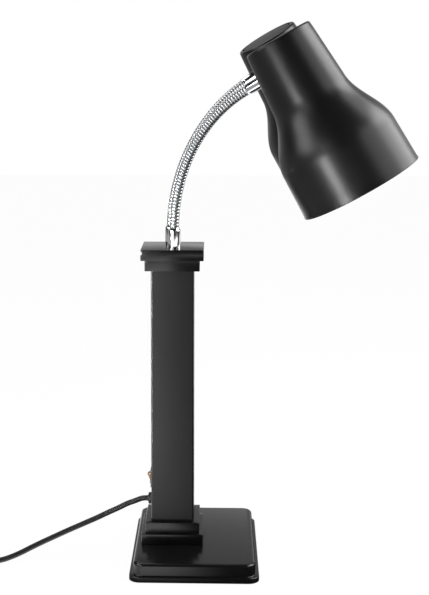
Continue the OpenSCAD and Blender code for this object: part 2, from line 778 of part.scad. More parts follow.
// The shade's outer radius at a distance from its top, below its rounded edge
function shade_r(s) =
    s < shade_waist_s ? shade_top_r + (shade_waist_r - shade_top_r) * s / shade_waist_s
    : s < shade_bell_s
        ? shade_waist_r + (shade_bell_r - shade_waist_r)
            * (0.5 - 0.5 * cos(180 * (s - shade_waist_s) / (shade_bell_s - shade_waist_s)))
    : shade_bell_r + (shade_mouth_r - shade_bell_r) * (s - shade_bell_s) / (shade_l - shade_bell_s);

// The distances from the top at which the outline has a corner, below the rounded edge
lip_h = 4;
shade_stations = concat(
    [entry_s, shade_waist_s * 0.8],
    [for (i = [0 : shade_steps]) shade_waist_s + (shade_bell_s - shade_waist_s) * i / shade_steps],
    [shade_l - 3 * lip_h, shade_l - lip_h]
);

// The rounded top edge, as points from the flat top round to the side
function top_edge(r) = [
    for (a = [90 : -15 : 0]) [shade_top_r - shade_edge_r + r * cos(a), crown_z - shade_edge_r + r * sin(a)]
];

// The outline of the shade's sheet, or of the whole shade where it is filled
module shade_outline(filled = false) {
    outer = concat(
        top_edge(shade_edge_r),
        [for (s = shade_stations) [shade_r(s), crown_z - s]],
        [[shade_mouth_r + shade_lip * 0.7, mouth_z + lip_h * 0.5],
         [shade_mouth_r + shade_lip, mouth_z + lip_h * 0.2],
         [shade_mouth_r + shade_lip, mouth_z]]
    );
    inner = concat(
        [[shade_mouth_r + shade_lip - shade_wall, mouth_z],
         [shade_mouth_r - shade_wall, mouth_z + lip_h]],
        [for (i = [len(shade_stations) - 2 : -1 : 0])
            [shade_r(shade_stations[i]) - shade_wall, crown_z - shade_stations[i]]],
        [for (i = [6 : -1 : 0]) top_edge(shade_edge_r - shade_wall)[i]]
    );
    if (filled)
        polygon(concat([[0, crown_z]], outer, [[0, mouth_z]]));
    else
        polygon(concat([[rim_r, crown_z]], outer, inner, [[rim_r, crown_z - shade_wall]]));
}

module head_ferrule(side) {
    shade_in_l = entry_r - bracket_x + bracket_t + nipple_nut_h + 2;
    color("silver") at_head(side) {
        difference() {
            translate([-entry_r, 0, 0]) rotate([0, -90, 0]) {
                difference() {
                    union() {
                        translate([0, 0, -2])
                            cylinder(head_ferrule_l + 2 - ferrule_taper_h,
                                     r1 = head_ferrule_r + head_ferrule_flare, r2 = head_ferrule_r);
                        translate([0, 0, head_ferrule_l - ferrule_taper_h])
                            cylinder(ferrule_taper_h, r1 = head_ferrule_r, r2 = ferrule_bore_r + 0.5);
                    }
                    translate([0, 0, head_ferrule_l - hose_seat]) cylinder(hose_seat + 1, r = ferrule_bore_r);
                    translate([0, 0, -3]) cylinder(head_ferrule_l, r = nipple_bore_r);
                }
            }
            rotate_extrude() shade_outline(filled = true);
        }
        translate([-entry_r, 0, 0]) rotate([0, 90, 0]) difference() {
            translate([0, 0, -2]) cylinder(shade_in_l + 2, r = nipple_r);
            translate([0, 0, -3]) cylinder(shade_in_l + 4, r = nipple_bore_r);
        }
    }
}

module head_nut(side) color("silver") at_head(side)
    translate([-bracket_x + bracket_t, 0, 0]) rotate([0, 90, 0])
        nut(nipple_nut_af, nipple_nut_h, nipple_r + thread_gap);

module shade(side) {
    color([0.1, 0.1, 0.1]) at_head(side) difference() {
        rotate_extrude($fn = 96) shade_outline();
        translate([-entry_r - 3, 0, 0]) rotate([0, 90, 0]) cylinder(entry_r / 2, r = nipple_r + hole_gap);
    }
}

module crown(side) {
    tabs = 3;
    tab_w = 8;
    color([0.2, 0.2, 0.2]) at_head(side) {
        translate([0, 0, crown_z - shade_wall]) cylinder(shade_wall, r = crown_r);
        translate([0, 0, crown_z - 2 * shade_wall]) cylinder(2 * shade_wall, r = crown_r - 2);
        for (i = [0 : tabs - 1]) rotate(360 * i / tabs + 60)
            translate([crown_r - 8, -tab_w / 2, crown_z - 2 * shade_wall])
                cube([tab_r - crown_r + 8, tab_w, shade_wall]);
    }
}

module bracket(side) {
    leg_drop = nipple_r + 4.5;
    color("silver") at_head(side) difference() {
        union() {
            translate([-bracket_x, -bracket_w / 2, -leg_drop])
                cube([bracket_t, bracket_w, leg_drop + bracket_rise + bracket_t]);
            translate([-bracket_x, -bracket_w / 2, bracket_rise])
                cube([bracket_x + bracket_reach, bracket_w, bracket_t]);
        }
        translate([-bracket_x - 1, 0, 0]) rotate([0, 90, 0]) cylinder(bracket_t + 2, r = nipple_r + hole_gap);
        for (x = [-1, 1]) translate([x * holder_screw_x, 0, bracket_rise - 1])
            cylinder(bracket_t + 2, r = holder_screw_r + hole_gap);
    }
}

module lampholder(side) {
    collar_h = 8;
    color("ivory") at_head(side) difference() {
        rotate_extrude() difference() {
            union() {
                translate([0, holder_mouth_z]) square([holder_r, holder_l * 0.7]);
                translate([0, holder_mouth_z]) square([holder_r - 2.5, holder_l - 1]);
                translate([0, holder_mouth_z]) square([holder_r - 3.5, holder_l]);
                translate([0, holder_mouth_z]) square([holder_r + 1.2, collar_h]);
            }
            translate([-1, holder_mouth_z - 1]) square([holder_bore_r + 1, holder_l - holder_roof + 1]);
        }
        for (x = [-1, 1]) translate([x * holder_screw_x, 0, holder_z - holder_screw_l])
            cylinder(holder_screw_l + 1, r = holder_screw_r + thread_gap);
    }
}

module holder_shell(side) {
    top_z = holder_z - holder_roof;
    shell_z = holder_mouth_z + 3;
    color("gold") at_head(side) {
        difference() {
            translate([0, 0, shell_z]) cylinder(top_z - shell_z, r = shell_r);
            translate([0, 0, shell_z - 1]) cylinder(top_z - shell_z, r = shell_bore_r);
        }
        translate([0, 0, lamp_tip_z]) cylinder(top_z - lamp_tip_z - eps, r = 3);
    }
}

module lamp_cap(side) {
    crown_h = 5;
    color("gold") at_head(side) {
        difference() {
            translate([0, 0, lamp_cap_z]) cylinder(lamp_cap_l - crown_h, r = lamp_cap_r);
            translate([0, 0, lamp_cap_z - 1]) cylinder(lamp_cap_l - crown_h - 1, r = lamp_cap_r - cap_sheet);
        }
        translate([0, 0, lamp_tip_z - crown_h]) cylinder(crown_h, r1 = lamp_cap_r - 1.5, r2 = 5);
    }
}

// The lamp's glass: a neck in its cap, a reflector that opens to the face, and a shallow dome
module lamp_glass(side) {
    glass_l = lamp_l - lamp_cap_l;
    inner_neck_r = lamp_cap_r - cap_sheet - 0.1;
    neck_r = lamp_cap_r + 2.5;
    steps = 10;
    bowl_start = 0.12;
    bowl_end = 0.82;
    dome_h = 6;
    // The reflector's radius at a share of the way from its neck to its rim
    function bowl_r(u) = neck_r + (lamp_face_r - neck_r) * pow(u, 0.75);
    bowl = [for (i = [0 : steps]) let (u = i / steps)
        [bowl_r(u), lamp_cap_z - glass_l * (bowl_start + (bowl_end - bowl_start) * u)]];
    dome = [for (i = [0 : 5]) let (a = 15 * i)
        [lamp_face_r * cos(a), lamp_face_z + dome_h - dome_h * sin(a)]];
    outside = concat(
        [[inner_neck_r, lamp_cap_z + lamp_neck_l], [inner_neck_r, lamp_cap_z], [lamp_cap_r + 1, lamp_cap_z],
         [neck_r, lamp_cap_z - 4]],
        bowl, dome, [[0, lamp_face_z]]
    );
    inside = concat(
        [[0, lamp_face_z + lamp_wall]],
        [for (i = [5 : -1 : 0]) [max(0, dome[i].x - lamp_wall), dome[i].y + lamp_wall]],
        [for (i = [steps - 1 : -1 : 0]) [bowl[i].x - lamp_wall, bowl[i].y]],
        [[inner_neck_r - lamp_wall, lamp_cap_z - 4], [inner_neck_r - lamp_wall, lamp_cap_z + lamp_neck_l]]
    );
    color([0.9, 0.9, 0.85]) at_head(side) rotate_extrude() polygon(concat(outside, inside));
}

module holder_screws(side) {
    head_r = 3.8;
    head_h = 2.4;
    color("silver") at_head(side) for (x = [-1, 1]) translate([x * holder_screw_x, 0, 0]) difference() {
        union() {
            translate([0, 0, holder_z - holder_screw_l + 1])
                cylinder(holder_screw_l + bracket_t, r = holder_screw_r);
            translate([0, 0, holder_z + bracket_t]) cylinder(head_h, r = head_r);
        }
        translate([-head_r - 1, -0.5, holder_z + bracket_t + head_h - 1.1]) cube([2 * head_r + 2, 1, 2]);
    }
}

module cord_lead() color([0.1, 0.1, 0.1]) tube(cord_lead_points, cord_r, cord_sides, [0, 1, 0]);

module cord_tail() color([0.1, 0.1, 0.1]) tube(cord_tail_points, cord_r, cord_sides, [1, 0, 0]);

// The coil's centre line: it winds in on the table, climbs a layer in half a turn, and winds out on top
function coil_point(turn) =
    let (middle = coil_turns / 2,
         r = coil_r - coil_pitch * (middle - abs(turn - middle)),
         climb = min(1, max(0, (turn - middle) * 2 + 0.5)),
         a = 90 + 360 * turn)
    [coil_x + r * cos(a), coil_y + r * sin(a), coil_z + coil_layer_h * (0.5 - 0.5 * cos(180 * climb))];
coil_points = [for (i = [0 : coil_turns * coil_rings]) coil_point(i / coil_rings)];

// The least distance between points of the coil that are over half a turn apart
coil_gap = min([
    for (i = [0 : len(coil_points) - 1], j = [i + coil_rings / 2 : len(coil_points) - 1])
        norm(coil_points[i] - coil_points[j])
]) - 2 * cord_r;
echo(coil_gap = coil_gap);
echo(cord_length = path_length(cord_lead_points) + path_length(coil_points) + path_length(cord_tail_points));

module cord_coil() color([0.1, 0.1, 0.1]) tube(coil_points, cord_r, coil_sides, [0, 1, 0]);

// A flat strip round the coil's bundle, on the side nearest the table's front
module cord_tie() {
    inner_r = coil_r - coil_pitch * coil_turns / 2 - cord_r - 1;
    outer_r = coil_r + cord_r + 1;
    top_z = coil_z + coil_layer_h + cord_r + 0.1;
    color("dimgray") translate([coil_x, coil_y, 0]) rotate(-45) translate([inner_r - tie_t, -tie_w / 2, 0])
        difference() {
            cube([outer_r - inner_r + 2 * tie_t, tie_w, top_z + tie_t]);
            translate([tie_t, -1, tie_t]) cube([outer_r - inner_r, tie_w + 2, top_z - tie_t]);
        }
}

// Puts its children at the plug, with Z out of the pins' face
module at_plug() translate([tail_x, plug_y, plug_z]) rotate([90, 0, 0]) children();

module plug_body() {
    face_w = 37;
    face_h = 36;
    color([0.1, 0.1, 0.1]) at_plug() {
        difference() {
            union() {
                cylinder(sleeve_l, r1 = cord_r + 1.2, r2 = cord_r + 3.2);
                hull() {
                    translate([0, 0, sleeve_l - 1]) linear_extrude(1) rounded(16, 14, 5, $fn = 32);
                    translate([0, 0, sleeve_l + 12])
                        linear_extrude(plug_l - 12) rounded(face_w, face_h, 12, $fn = 32);
                }
            }
            for (x = [-1, 1]) translate([x * pin_spacing / 2, 0, sleeve_l + plug_l - pin_seat])
                cylinder(pin_seat + 1, r = pin_root_r + thread_gap);
        }
    }
}

module plug_pins() {
    tip_h = 1;
    color("silver") at_plug() for (x = [-1, 1]) translate([x * pin_spacing / 2, 0, sleeve_l + plug_l]) {
        translate([0, 0, -pin_seat]) cylinder(pin_seat + pin_relief + 1, r = pin_root_r);
        translate([0, 0, pin_relief]) cylinder(pin_l - pin_relief - tip_h, r = pin_r);
        translate([0, 0, pin_l - tip_h]) cylinder(tip_h, r1 = pin_r, r2 = pin_r - 0.8);
    }
}

// The hinges' places and directions, for whoever joins the necks' stretches
for (side = [FRONT, BACK], k = [0 : len(hinge_rings) - 1]) {
    p = side == FRONT ? front_points : back_points;
    t = side == FRONT ? front_headings : back_headings;
    echo(side = side, hinge = k + 1, at = p[hinge_rings[k]], heading = t[hinge_rings[k]]);
}

base_pan();
base_pad();
bottom_plate();
ballast();
plate_screws();
plinth();
column();
cap();
top_plate();
tie_rod();
tie_nuts();
switch_body();
rocker();
gland();
gland_nut();
terminal_block();
earth_stud();
column_leads();
foot_ferrules();
foot_nuts();
cord_lead();
cord_coil();
cord_tail();
cord_tie();
plug_body();
plug_pins();
hose(FRONT, 1);  // front_hose_1
hose(FRONT, 2);  // front_hose_2
hose(FRONT, 3);  // front_hose_3
hose(FRONT, 4);  // front_hose_4
hose(FRONT, 5);  // front_hose_5
head_ferrule(FRONT);  // front_head_ferrule
head_nut(FRONT);  // front_head_nut
shade(FRONT);  // front_shade
crown(FRONT);  // front_crown
bracket(FRONT);  // front_bracket
lampholder(FRONT);  // front_lampholder
holder_shell(FRONT);  // front_holder_shell
lamp_glass(FRONT);  // front_lamp_glass
lamp_cap(FRONT);  // front_lamp_cap
holder_screws(FRONT);  // front_holder_screws
hose(BACK, 1);  // back_hose_1
hose(BACK, 2);  // back_hose_2
hose(BACK, 3);  // back_hose_3
hose(BACK, 4);  // back_hose_4
hose(BACK, 5);  // back_hose_5
head_ferrule(BACK);  // back_head_ferrule
head_nut(BACK);  // back_head_nut
shade(BACK);  // back_shade
crown(BACK);  // back_crown
bracket(BACK);  // back_bracket
lampholder(BACK);  // back_lampholder
holder_shell(BACK);  // back_holder_shell
lamp_glass(BACK);  // back_lamp_glass
lamp_cap(BACK);  // back_lamp_cap
holder_screws(BACK);  // back_holder_screws
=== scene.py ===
"""Food heat lamp: two bell shades on flexible necks, a square column and a weighted base.

The frame holds every piece at its place and real size. This script gives the pieces their finishes,
and models anew those that need rounder edges, wound ribs or a flexible form.
"""
import json
import math

import bmesh
import bpy
from mathutils import Matrix, Vector


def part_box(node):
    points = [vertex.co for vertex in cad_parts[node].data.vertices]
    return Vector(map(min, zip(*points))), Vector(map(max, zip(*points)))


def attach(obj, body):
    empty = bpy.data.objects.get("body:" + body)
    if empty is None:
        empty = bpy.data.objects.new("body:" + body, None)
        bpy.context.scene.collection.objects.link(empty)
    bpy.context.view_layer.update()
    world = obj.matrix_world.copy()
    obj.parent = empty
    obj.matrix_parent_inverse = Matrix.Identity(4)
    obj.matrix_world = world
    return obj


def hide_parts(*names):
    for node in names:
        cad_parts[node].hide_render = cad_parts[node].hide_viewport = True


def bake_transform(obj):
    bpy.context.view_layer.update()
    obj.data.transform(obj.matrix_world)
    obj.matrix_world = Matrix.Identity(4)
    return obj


bl_info = {
    "name": "Food Heat Lamp",
    "version": (1, 0, 0),
    "blender": (4, 5, 0),
    "location": "View3D > Sidebar > Heat Lamp",
    "description": "Models a twin-head food heat lamp piece by piece around its packed frame",
    "category": "Object",
}

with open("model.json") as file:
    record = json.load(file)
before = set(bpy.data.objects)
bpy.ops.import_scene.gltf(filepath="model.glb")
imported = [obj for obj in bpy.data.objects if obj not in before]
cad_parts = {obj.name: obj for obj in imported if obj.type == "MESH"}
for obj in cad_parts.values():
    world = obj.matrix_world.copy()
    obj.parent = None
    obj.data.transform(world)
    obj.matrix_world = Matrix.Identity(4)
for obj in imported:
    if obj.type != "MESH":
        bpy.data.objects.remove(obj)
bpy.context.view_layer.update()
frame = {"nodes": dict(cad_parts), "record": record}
NODES = frame["nodes"]

MM = 0.001
FRONT = -1
BACK = 1
SIDES = {"front": FRONT, "back": BACK}
AXES = {"X": 0, "Y": 1, "Z": 2}
# Turns a piece modelled upwards so that it points to the left
LEFTWARDS = Matrix.Rotation(-math.pi / 2, 4, "Y")


def low(node, axis):
    """A node's lowest coordinate on an axis, in millimetres."""
    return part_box(node)[0][AXES[axis]] / MM


def high(node, axis):
    """A node's highest coordinate on an axis, in millimetres."""
    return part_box(node)[1][AXES[axis]] / MM


def extent(node, axis):
    """A node's size along an axis, in millimetres."""
    return high(node, axis) - low(node, axis)


def middle(node, axis):
    """The middle of a node along an axis, in millimetres."""
    return (low(node, axis) + high(node, axis)) / 2


def length(name, description, default, least=0.0, most=2000.0):
    """A property that holds a size in millimetres."""
    return bpy.props.FloatProperty(name=name, description=description, default=default, min=least, max=most)


def angle(name, description, default):
    """A property that holds an angle, given here in degrees."""
    return bpy.props.FloatProperty(
        name=name, description=description, default=math.radians(default), subtype="ANGLE", unit="ROTATION"
    )


def colour(name, description, default):
    """A property that holds a colour."""
    return bpy.props.FloatVectorProperty(
        name=name, description=description, default=default, subtype="COLOR", min=0.0, max=1.0, size=3
    )


class HEATLAMP_PG_base(bpy.types.PropertyGroup):
    """Sizes of the base pan and the two stepped mouldings."""

    ledge: length("Ledge", "Width of the flange's ledge round the raised top", 4.6)
    flange_h: length("Flange height", "Height of the flange's top over the table", 7.4)
    corner_r: length("Corner radius", "Radius of the flange's corners", 14.0)
    edge_r: length("Edge radius", "Radius of the raised top's rounded edge", 3.8)
    flange_edge_r: length("Flange edge radius", "Radius of the flange's pressed edge", 1.2)
    wall: length("Sheet", "Thickness of the pressed sheet", 1.5)
    step_w: length("Inner step", "Width of the step that touches the column", 70.0)
    step_corner_r: length("Step corner radius", "Radius of the steps' corners", 1.5)
    step_edge_r: length("Step edge radius", "Radius of the steps' painted edges", 0.6)
    socket_depth: length("Socket", "Depth of the socket that the column stands in", 10.0)


class HEATLAMP_PG_neck(bpy.types.PropertyGroup):
    """Sizes and bends of the two flexible necks."""

    front_azimuth: angle("Front direction", "Direction that the front neck leans to, away from +X", 37.7)
    back_azimuth: angle("Back direction", "Direction that the back neck leans to, away from +X", 35.1)
    front_rise: angle("Front rise", "Rise of the front neck's end over the horizontal", 25.2)
    back_rise: angle("Back rise", "Rise of the back neck's end over the horizontal", 29.6)
    front_spread: bpy.props.FloatProperty(
        name="Front spread", description="How the front bend is spread, where 1 is even", default=0.966
    )
    back_spread: bpy.props.FloatProperty(
        name="Back spread", description="How the back bend is spread, where 1 is even", default=0.885
    )
    front_roll: angle("Front turn", "Turn of the front shade about its neck's end", 16.5)
    back_roll: angle("Back turn", "Turn of the back shade about its neck's end", 11.1)
    foot_x: length("Foot offset", "How far the feet stand askew, along X", 2.3)
    foot_y: length("Foot spacing", "Distance of each foot from the column's centre, along Y", 15.0)
    free: length("Free length", "Length of each neck between its two ferrules", 222.7)
    seat: length("Seat", "Length of hose held inside each ferrule", 13.0)
    hose_r: length("Hose radius", "Radius over the ribs", 6.2)
    groove: length("Groove", "Depth of the grooves between the ribs", 0.95)
    foot_ferrule_r: length("Foot ferrule radius", "Radius of the foot ferrules", 8.2)
    foot_ferrule_h: length("Foot ferrule height", "Height of the foot ferrules", 25.0)
    head_ferrule_r: length("Head ferrule radius", "Radius of the head ferrules at the hose", 7.1)
    head_ferrule_flare: length("Flare", "How much wider the head ferrules are at the shade", 0.8)
    head_ferrule_l: length("Head ferrule length", "Length of the head ferrules", 25.0)
    nipple_r: length("Nipple radius", "Radius of the threaded nipples", 5.0)


class HEATLAMP_PG_shade(bpy.types.PropertyGroup):
    """Sizes of the bell shades and their lamps, as distances from the top and radii."""

    whole: length("Length", "From the flat top to the mouth", 201.0)
    top_r: length("Top radius", "Radius at the top", 42.0)
    waist_r: length("Waist radius", "Radius where the bell starts to open", 47.3)
    waist_s: length("Waist", "From the top to where the bell starts to open", 72.0)
    bell_r: length("Bell radius", "Radius where the bell is open", 73.3)
    bell_s: length("Bell", "From the top to where the bell is open", 148.0)
    mouth_r: length("Mouth radius", "Radius at the mouth", 75.0)
    lip: length("Lip", "How far the turned lip stands out", 0.4)
    wall: length("Sheet", "Thickness of the spun sheet", 1.2)
    edge_r: length("Top edge radius", "Radius of the rounded top edge", 3.0)
    crown_r: length("Crown radius", "Radius of the disc let into the top", 34.5)
    groove: length("Crown groove", "Width of the groove round the disc", 2.0)
    entry_s: length("Entry", "From the top to where the neck enters", 34.6)
    lamp_face_r: length("Lamp radius", "Radius of the lamp's face", 61.0)
    lamp_cap_r: length("Lamp cap radius", "Radius of the lamp's screw cap", 13.3)
    lamp_l: length("Lamp length", "Length of the whole lamp", 136.0)


class HEATLAMP_PG_switch(bpy.types.PropertyGroup):
    """Sizes of the rocker switch on the column."""

    bezel_w: length("Bezel width", "Width of the bezel", 15.0)
    bezel_h: length("Bezel height", "Height of the bezel", 24.0)
    bezel_t: length("Bezel depth", "How far the bezel stands out", 2.0)
    centre_z: length("Switch height", "Height of the switch's centre over the table", 100.6)
    rocker_r: length("Rocker radius", "Radius of the rocker's ends about its pivot", 7.6)
    rocker_w: length("Rocker width", "Width of the rocker", 9.0)
    rocker_rise: length("Rocker rise", "How far the rocker's ends stand out, level", 4.1)
    rocker_tilt: angle("Rocker tilt", "Tilt of the rocker at each end of its travel", 14.0)


class HEATLAMP_PG_cord(bpy.types.PropertyGroup):
    """Sizes of the mains cord, its gland and its coil."""

    whole: length("Length", "Real length of the cord from the gland to the plug", 1895.0, 500.0, 5000.0)
    r: length("Radius", "Radius of the cord", 3.5)
    gland_z: length("Gland height", "Height of the gland over the table", 72.0)
    gland_flange_r: length("Gland radius", "Radius of the gland's flange", 7.6)
    coil_r: length("Coil radius", "Radius of the outer turn at the cord's centre", 51.5)
    coil_pitch: length("Coil pitch", "Distance between the coil's turns", 7.5)
    coil_turns: bpy.props.FloatProperty(name="Turns", description="Number of turns in the coil", default=6.25)


class HEATLAMP_PG_finish(bpy.types.PropertyGroup):
    """Colours of the lamp's finishes."""

    enamel: colour("Gloss enamel", "Base, plinth and cap", (0.0035, 0.0035, 0.0037))
    powder: colour("Powder coat", "Column and shades", (0.004, 0.004, 0.0042))
    crown: colour("Crown enamel", "Discs in the shades' tops", (0.012, 0.012, 0.0125))
    chrome: colour("Chrome", "Necks and ferrules", (0.86, 0.87, 0.88))
    ribbed: colour("Ribbed steel", "Hoses of the necks", (0.47, 0.48, 0.49))
    amber: colour("Amber plastic", "Rocker", (0.08, 0.042, 0.022))
    plastic: colour("Black plastic", "Switch, gland and plug", (0.006, 0.006, 0.0062))
    sheath: colour("Cord sheath", "Mains cord", (0.006, 0.006, 0.0062))


GROUPS = {
    "base": HEATLAMP_PG_base,
    "neck": HEATLAMP_PG_neck,
    "shade": HEATLAMP_PG_shade,
    "switch": HEATLAMP_PG_switch,
    "cord": HEATLAMP_PG_cord,
    "finish": HEATLAMP_PG_finish,
}


def settings(group):
    """The scene's values of one of the property groups."""
    return getattr(bpy.context.scene, "heat_lamp_" + group)


# Modelling by hand: starting a piece, picking its elements and finishing it, with sizes in millimetres


def rest_hands():
    """Leaves edit mode and deselects everything."""
    if bpy.context.object and bpy.context.object.mode != "OBJECT":
        bpy.ops.object.mode_set(mode="OBJECT")
    bpy.ops.object.select_all(action="DESELECT")


def mm(*values):
    """Millimetres as the metres that the scene works in."""
    return tuple(v * MM for v in values)


def at(x, y, z):
    """The matrix that moves a piece to a place in millimetres."""
    return Matrix.Translation(mm(x, y, z))


def named(name):
    """Names the object that an operator has just added."""
    obj = bpy.context.object
    obj.name = name
    obj.data.name = name
    return obj


def take(obj):
    """Makes an object the only one selected."""
    rest_hands()
    obj.select_set(True)
    bpy.context.view_layer.objects.active = obj


def open_mesh(obj):
    """Takes an object into edit mode with nothing selected."""
    take(obj)
    bpy.ops.object.mode_set(mode="EDIT")
    bpy.ops.mesh.select_all(action="DESELECT")


def everything(kind=None):
    """Selects the whole mesh in edit mode, as vertices or faces where that is named."""
    if kind:
        bpy.ops.mesh.select_mode(type=kind)
    bpy.ops.mesh.select_all(action="SELECT")


def outwards():
    """Turns every face of the mesh in edit mode outwards, and leaves edit mode."""
    everything()
    bpy.ops.mesh.normals_make_consistent(inside=False)
    rest_hands()


def weld(slack):
    """Merges the vertices that lie closer together than a distance."""
    everything()
    bpy.ops.mesh.remove_doubles(threshold=slack * MM)


def pick(obj, kind, test):
    """Selects the edges or faces of a mesh in edit mode that pass a test."""
    bpy.ops.mesh.select_mode(type={"edges": "EDGE", "faces": "FACE"}[kind])
    bpy.ops.mesh.select_all(action="DESELECT")
    shape = bmesh.from_edit_mesh(obj.data)
    for element in getattr(shape, kind):
        if test(element):
            element.select_set(True)
    bmesh.update_edit_mesh(obj.data)


def level(place, axis="Z"):
    """A test for edges and faces that lie at one height, or at one place on another axis."""
    slack = 0.02
    return lambda element: all(abs(v.co[AXES[axis]] / MM - place) < slack for v in element.verts)


def extrude(up, away=0):
    """Extrudes the selected faces up, or away from the front."""
    bpy.ops.mesh.extrude_region_move(TRANSFORM_OT_translate={"value": mm(0, away, up)})


def inset(margin):
    """Insets the selected face by a margin."""
    bpy.ops.mesh.inset(thickness=margin * MM)


def resize(share_x, share_y, centre=(0, 0, 0)):
    """Scales what is selected, in its own plane, about a centre."""
    bpy.ops.transform.resize(value=(share_x, share_y, 1), center_override=mm(*centre))


def narrow(share_x, share_y=None, centre=(0, 0, 0)):
    """Lets the selected level face shrink inside itself, corners and all, to a share of its size."""
    extrude(0)
    resize(share_x, share_y or share_x, centre)


def bevel(width, segments, affect="EDGES"):
    """Rounds what is selected."""
    bpy.ops.mesh.bevel(offset=width * MM, segments=segments, affect=affect, clamp_overlap=True)


def soften(obj, test, width, segments):
    """Rounds the edges of a mesh in edit mode that pass a test."""
    pick(obj, "edges", test)
    bevel(width, segments)


def plane(name):
    """Starts a piece as a plane of one metre, opened and selected."""
    rest_hands()
    bpy.ops.mesh.primitive_plane_add(size=1)
    obj = named(name)
    open_mesh(obj)
    everything("VERT")
    return obj


def rounded_plane(name, width, depth, radius, segments, centre=(0, 0, 0)):
    """Starts a piece as a level rectangle with round corners, and leaves it in edit mode."""
    obj = plane(name)
    resize(width * MM, depth * MM)
    bevel(radius, segments, "VERTICES")
    everything("FACE")
    bpy.ops.transform.translate(value=mm(*centre))
    return obj


def drawn_line(name, points):
    """Starts a piece as a line drawn from point to point, and leaves it in edit mode."""
    obj = plane(name)
    bpy.ops.mesh.merge(type="CENTER")
    everything()
    bpy.ops.transform.translate(value=mm(*points[0]))
    for here, there in zip(points, points[1:]):
        step = mm(*(b - a for a, b in zip(here, there)))
        bpy.ops.mesh.extrude_vertices_move(TRANSFORM_OT_translate={"value": step})
    return obj


def turned(name, profile, steps=96):
    """A piece turned on a lathe about Z, from (radius, height) points."""
    obj = drawn_line(name, [(r, 0, z) for r, z in profile])
    everything()
    bpy.ops.mesh.spin(steps=steps, angle=2 * math.pi, center=(0, 0, 0), axis=(0, 0, 1))
    weld(0.001)
    outwards()
    return obj


def arc(centre, radius, start, end, steps):
    """Points on an arc, in degrees, as (radius, height) pairs."""
    angles = [math.radians(start + (end - start) * i / steps) for i in range(steps + 1)]
    return [(centre[0] + radius * math.cos(a), centre[1] + radius * math.sin(a)) for a in angles]


def put(obj, matrix):
    """Moves a piece by a matrix and applies it, so that its object stays at the origin."""
    take(obj)
    obj.matrix_world = matrix
    bpy.ops.object.transform_apply(location=True, rotation=True, scale=True)
    return obj


def modify(obj, kind, **values):
    """Adds a modifier and applies it."""
    take(obj)
    modifier = obj.modifiers.new(kind.title(), kind)
    for key, value in values.items():
        setattr(modifier, key, value)
    bpy.ops.object.modifier_apply(modifier=modifier.name)


def joined(name, pieces):
    """Several meshes as one piece."""
    take(pieces[0])
    for piece in pieces[1:]:
        piece.select_set(True)
    bpy.ops.object.join()
    return named(name)


def block(name, size, place, edge_r):
    """A small block with softened edges."""
    rest_hands()
    bpy.ops.mesh.primitive_cube_add(size=1, location=mm(*place))
    piece = named(name)
    piece.scale = mm(*size)
    bpy.ops.object.transform_apply(location=True, rotation=False, scale=True)
    open_mesh(piece)
    everything()
    bevel(edge_r, 2)
    rest_hands()
    return piece


def drawn_curve(name, kind, places):
    """Starts a curve of one line through places, and gives its knots too."""
    rest_hands()
    bpy.ops.curve.primitive_bezier_curve_add()
    line = named(name)
    line.data.splines.clear()
    line.data.dimensions = "3D"
    spline = line.data.splines.new(kind)
    straight = kind == "POLY"
    knots = spline.points if straight else spline.bezier_points
    knots.add(len(places) - 1)
    for knot, place in zip(knots, places):
        knot.co = (*place, 1.0) if straight else place
    return line, knots


def finished(obj, body, slot, replaced=(), smooth=35.0, look=None):
    """Smooths a piece, gives it a material unless it has one, and hangs it on the body that carries it."""
    take(obj)
    bpy.ops.object.shade_smooth_by_angle(angle=math.radians(smooth))
    if not obj.data.materials:
        obj.data.materials.append(finish(look or slot))
    if body:
        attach(obj, body)
    if replaced:
        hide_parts(*replaced)
    rest_hands()
    return obj


# Effects that several materials share, each one a node group


def feed(tree, made, inputs):
    """Gives a node's inputs their values, or links them to the outputs given in their place."""
    for key, value in inputs.items():
        if isinstance(value, bpy.types.NodeSocket):
            tree.links.new(value, made.inputs[key])
        else:
            made.inputs[key].default_value = value


def new_node(tree, kind, inputs=(), **options):
    """A new shader node with its options and its inputs."""
    made = tree.nodes.new("ShaderNode" + kind)
    for key, value in options.items():
        setattr(made, key, value)
    feed(tree, made, dict(inputs))
    return made


def sums(tree, operation, *values):
    """A math node on sockets or numbers, or a chain of them for more than two."""
    if len(values) > 2:
        values = (sums(tree, operation, *values[:-1]), values[-1])
    return new_node(tree, "Math", enumerate(values), operation=operation).outputs[0]


def swept(tree, value, start, end, at_start, at_end):
    """A value eased from one level to another between two limits."""
    limits = {"Value": value, "From Min": start, "From Max": end, "To Min": at_start, "To Max": at_end}
    return new_node(tree, "MapRange", limits, interpolation_type="SMOOTHSTEP").outputs["Result"]


def coordinates(tree, kind="Object"):
    """Coordinates to place a pattern by: the object's own, in metres, unless another kind is named."""
    return new_node(tree, "TexCoord").outputs[kind]


def noise(tree, scale, detail, roughness=0.5):
    """A noise texture on object coordinates."""
    inputs = {"Vector": coordinates(tree), "Scale": scale, "Detail": detail, "Roughness": roughness}
    return new_node(tree, "TexNoise", inputs).outputs["Fac"]


def new_group(name, inputs, outputs):
    """An empty shader node group, what comes in through its sockets, and its output node."""
    group = bpy.data.node_groups.new(name, "ShaderNodeTree")
    for way, sockets in (("INPUT", inputs), ("OUTPUT", outputs)):
        for label, default in sockets.items():
            kind = "NodeSocketColor" if isinstance(default, tuple) else "NodeSocketFloat"
            group.interface.new_socket(label, in_out=way, socket_type=kind).default_value = default
    return group, group.nodes.new("NodeGroupInput").outputs, group.nodes.new("NodeGroupOutput")


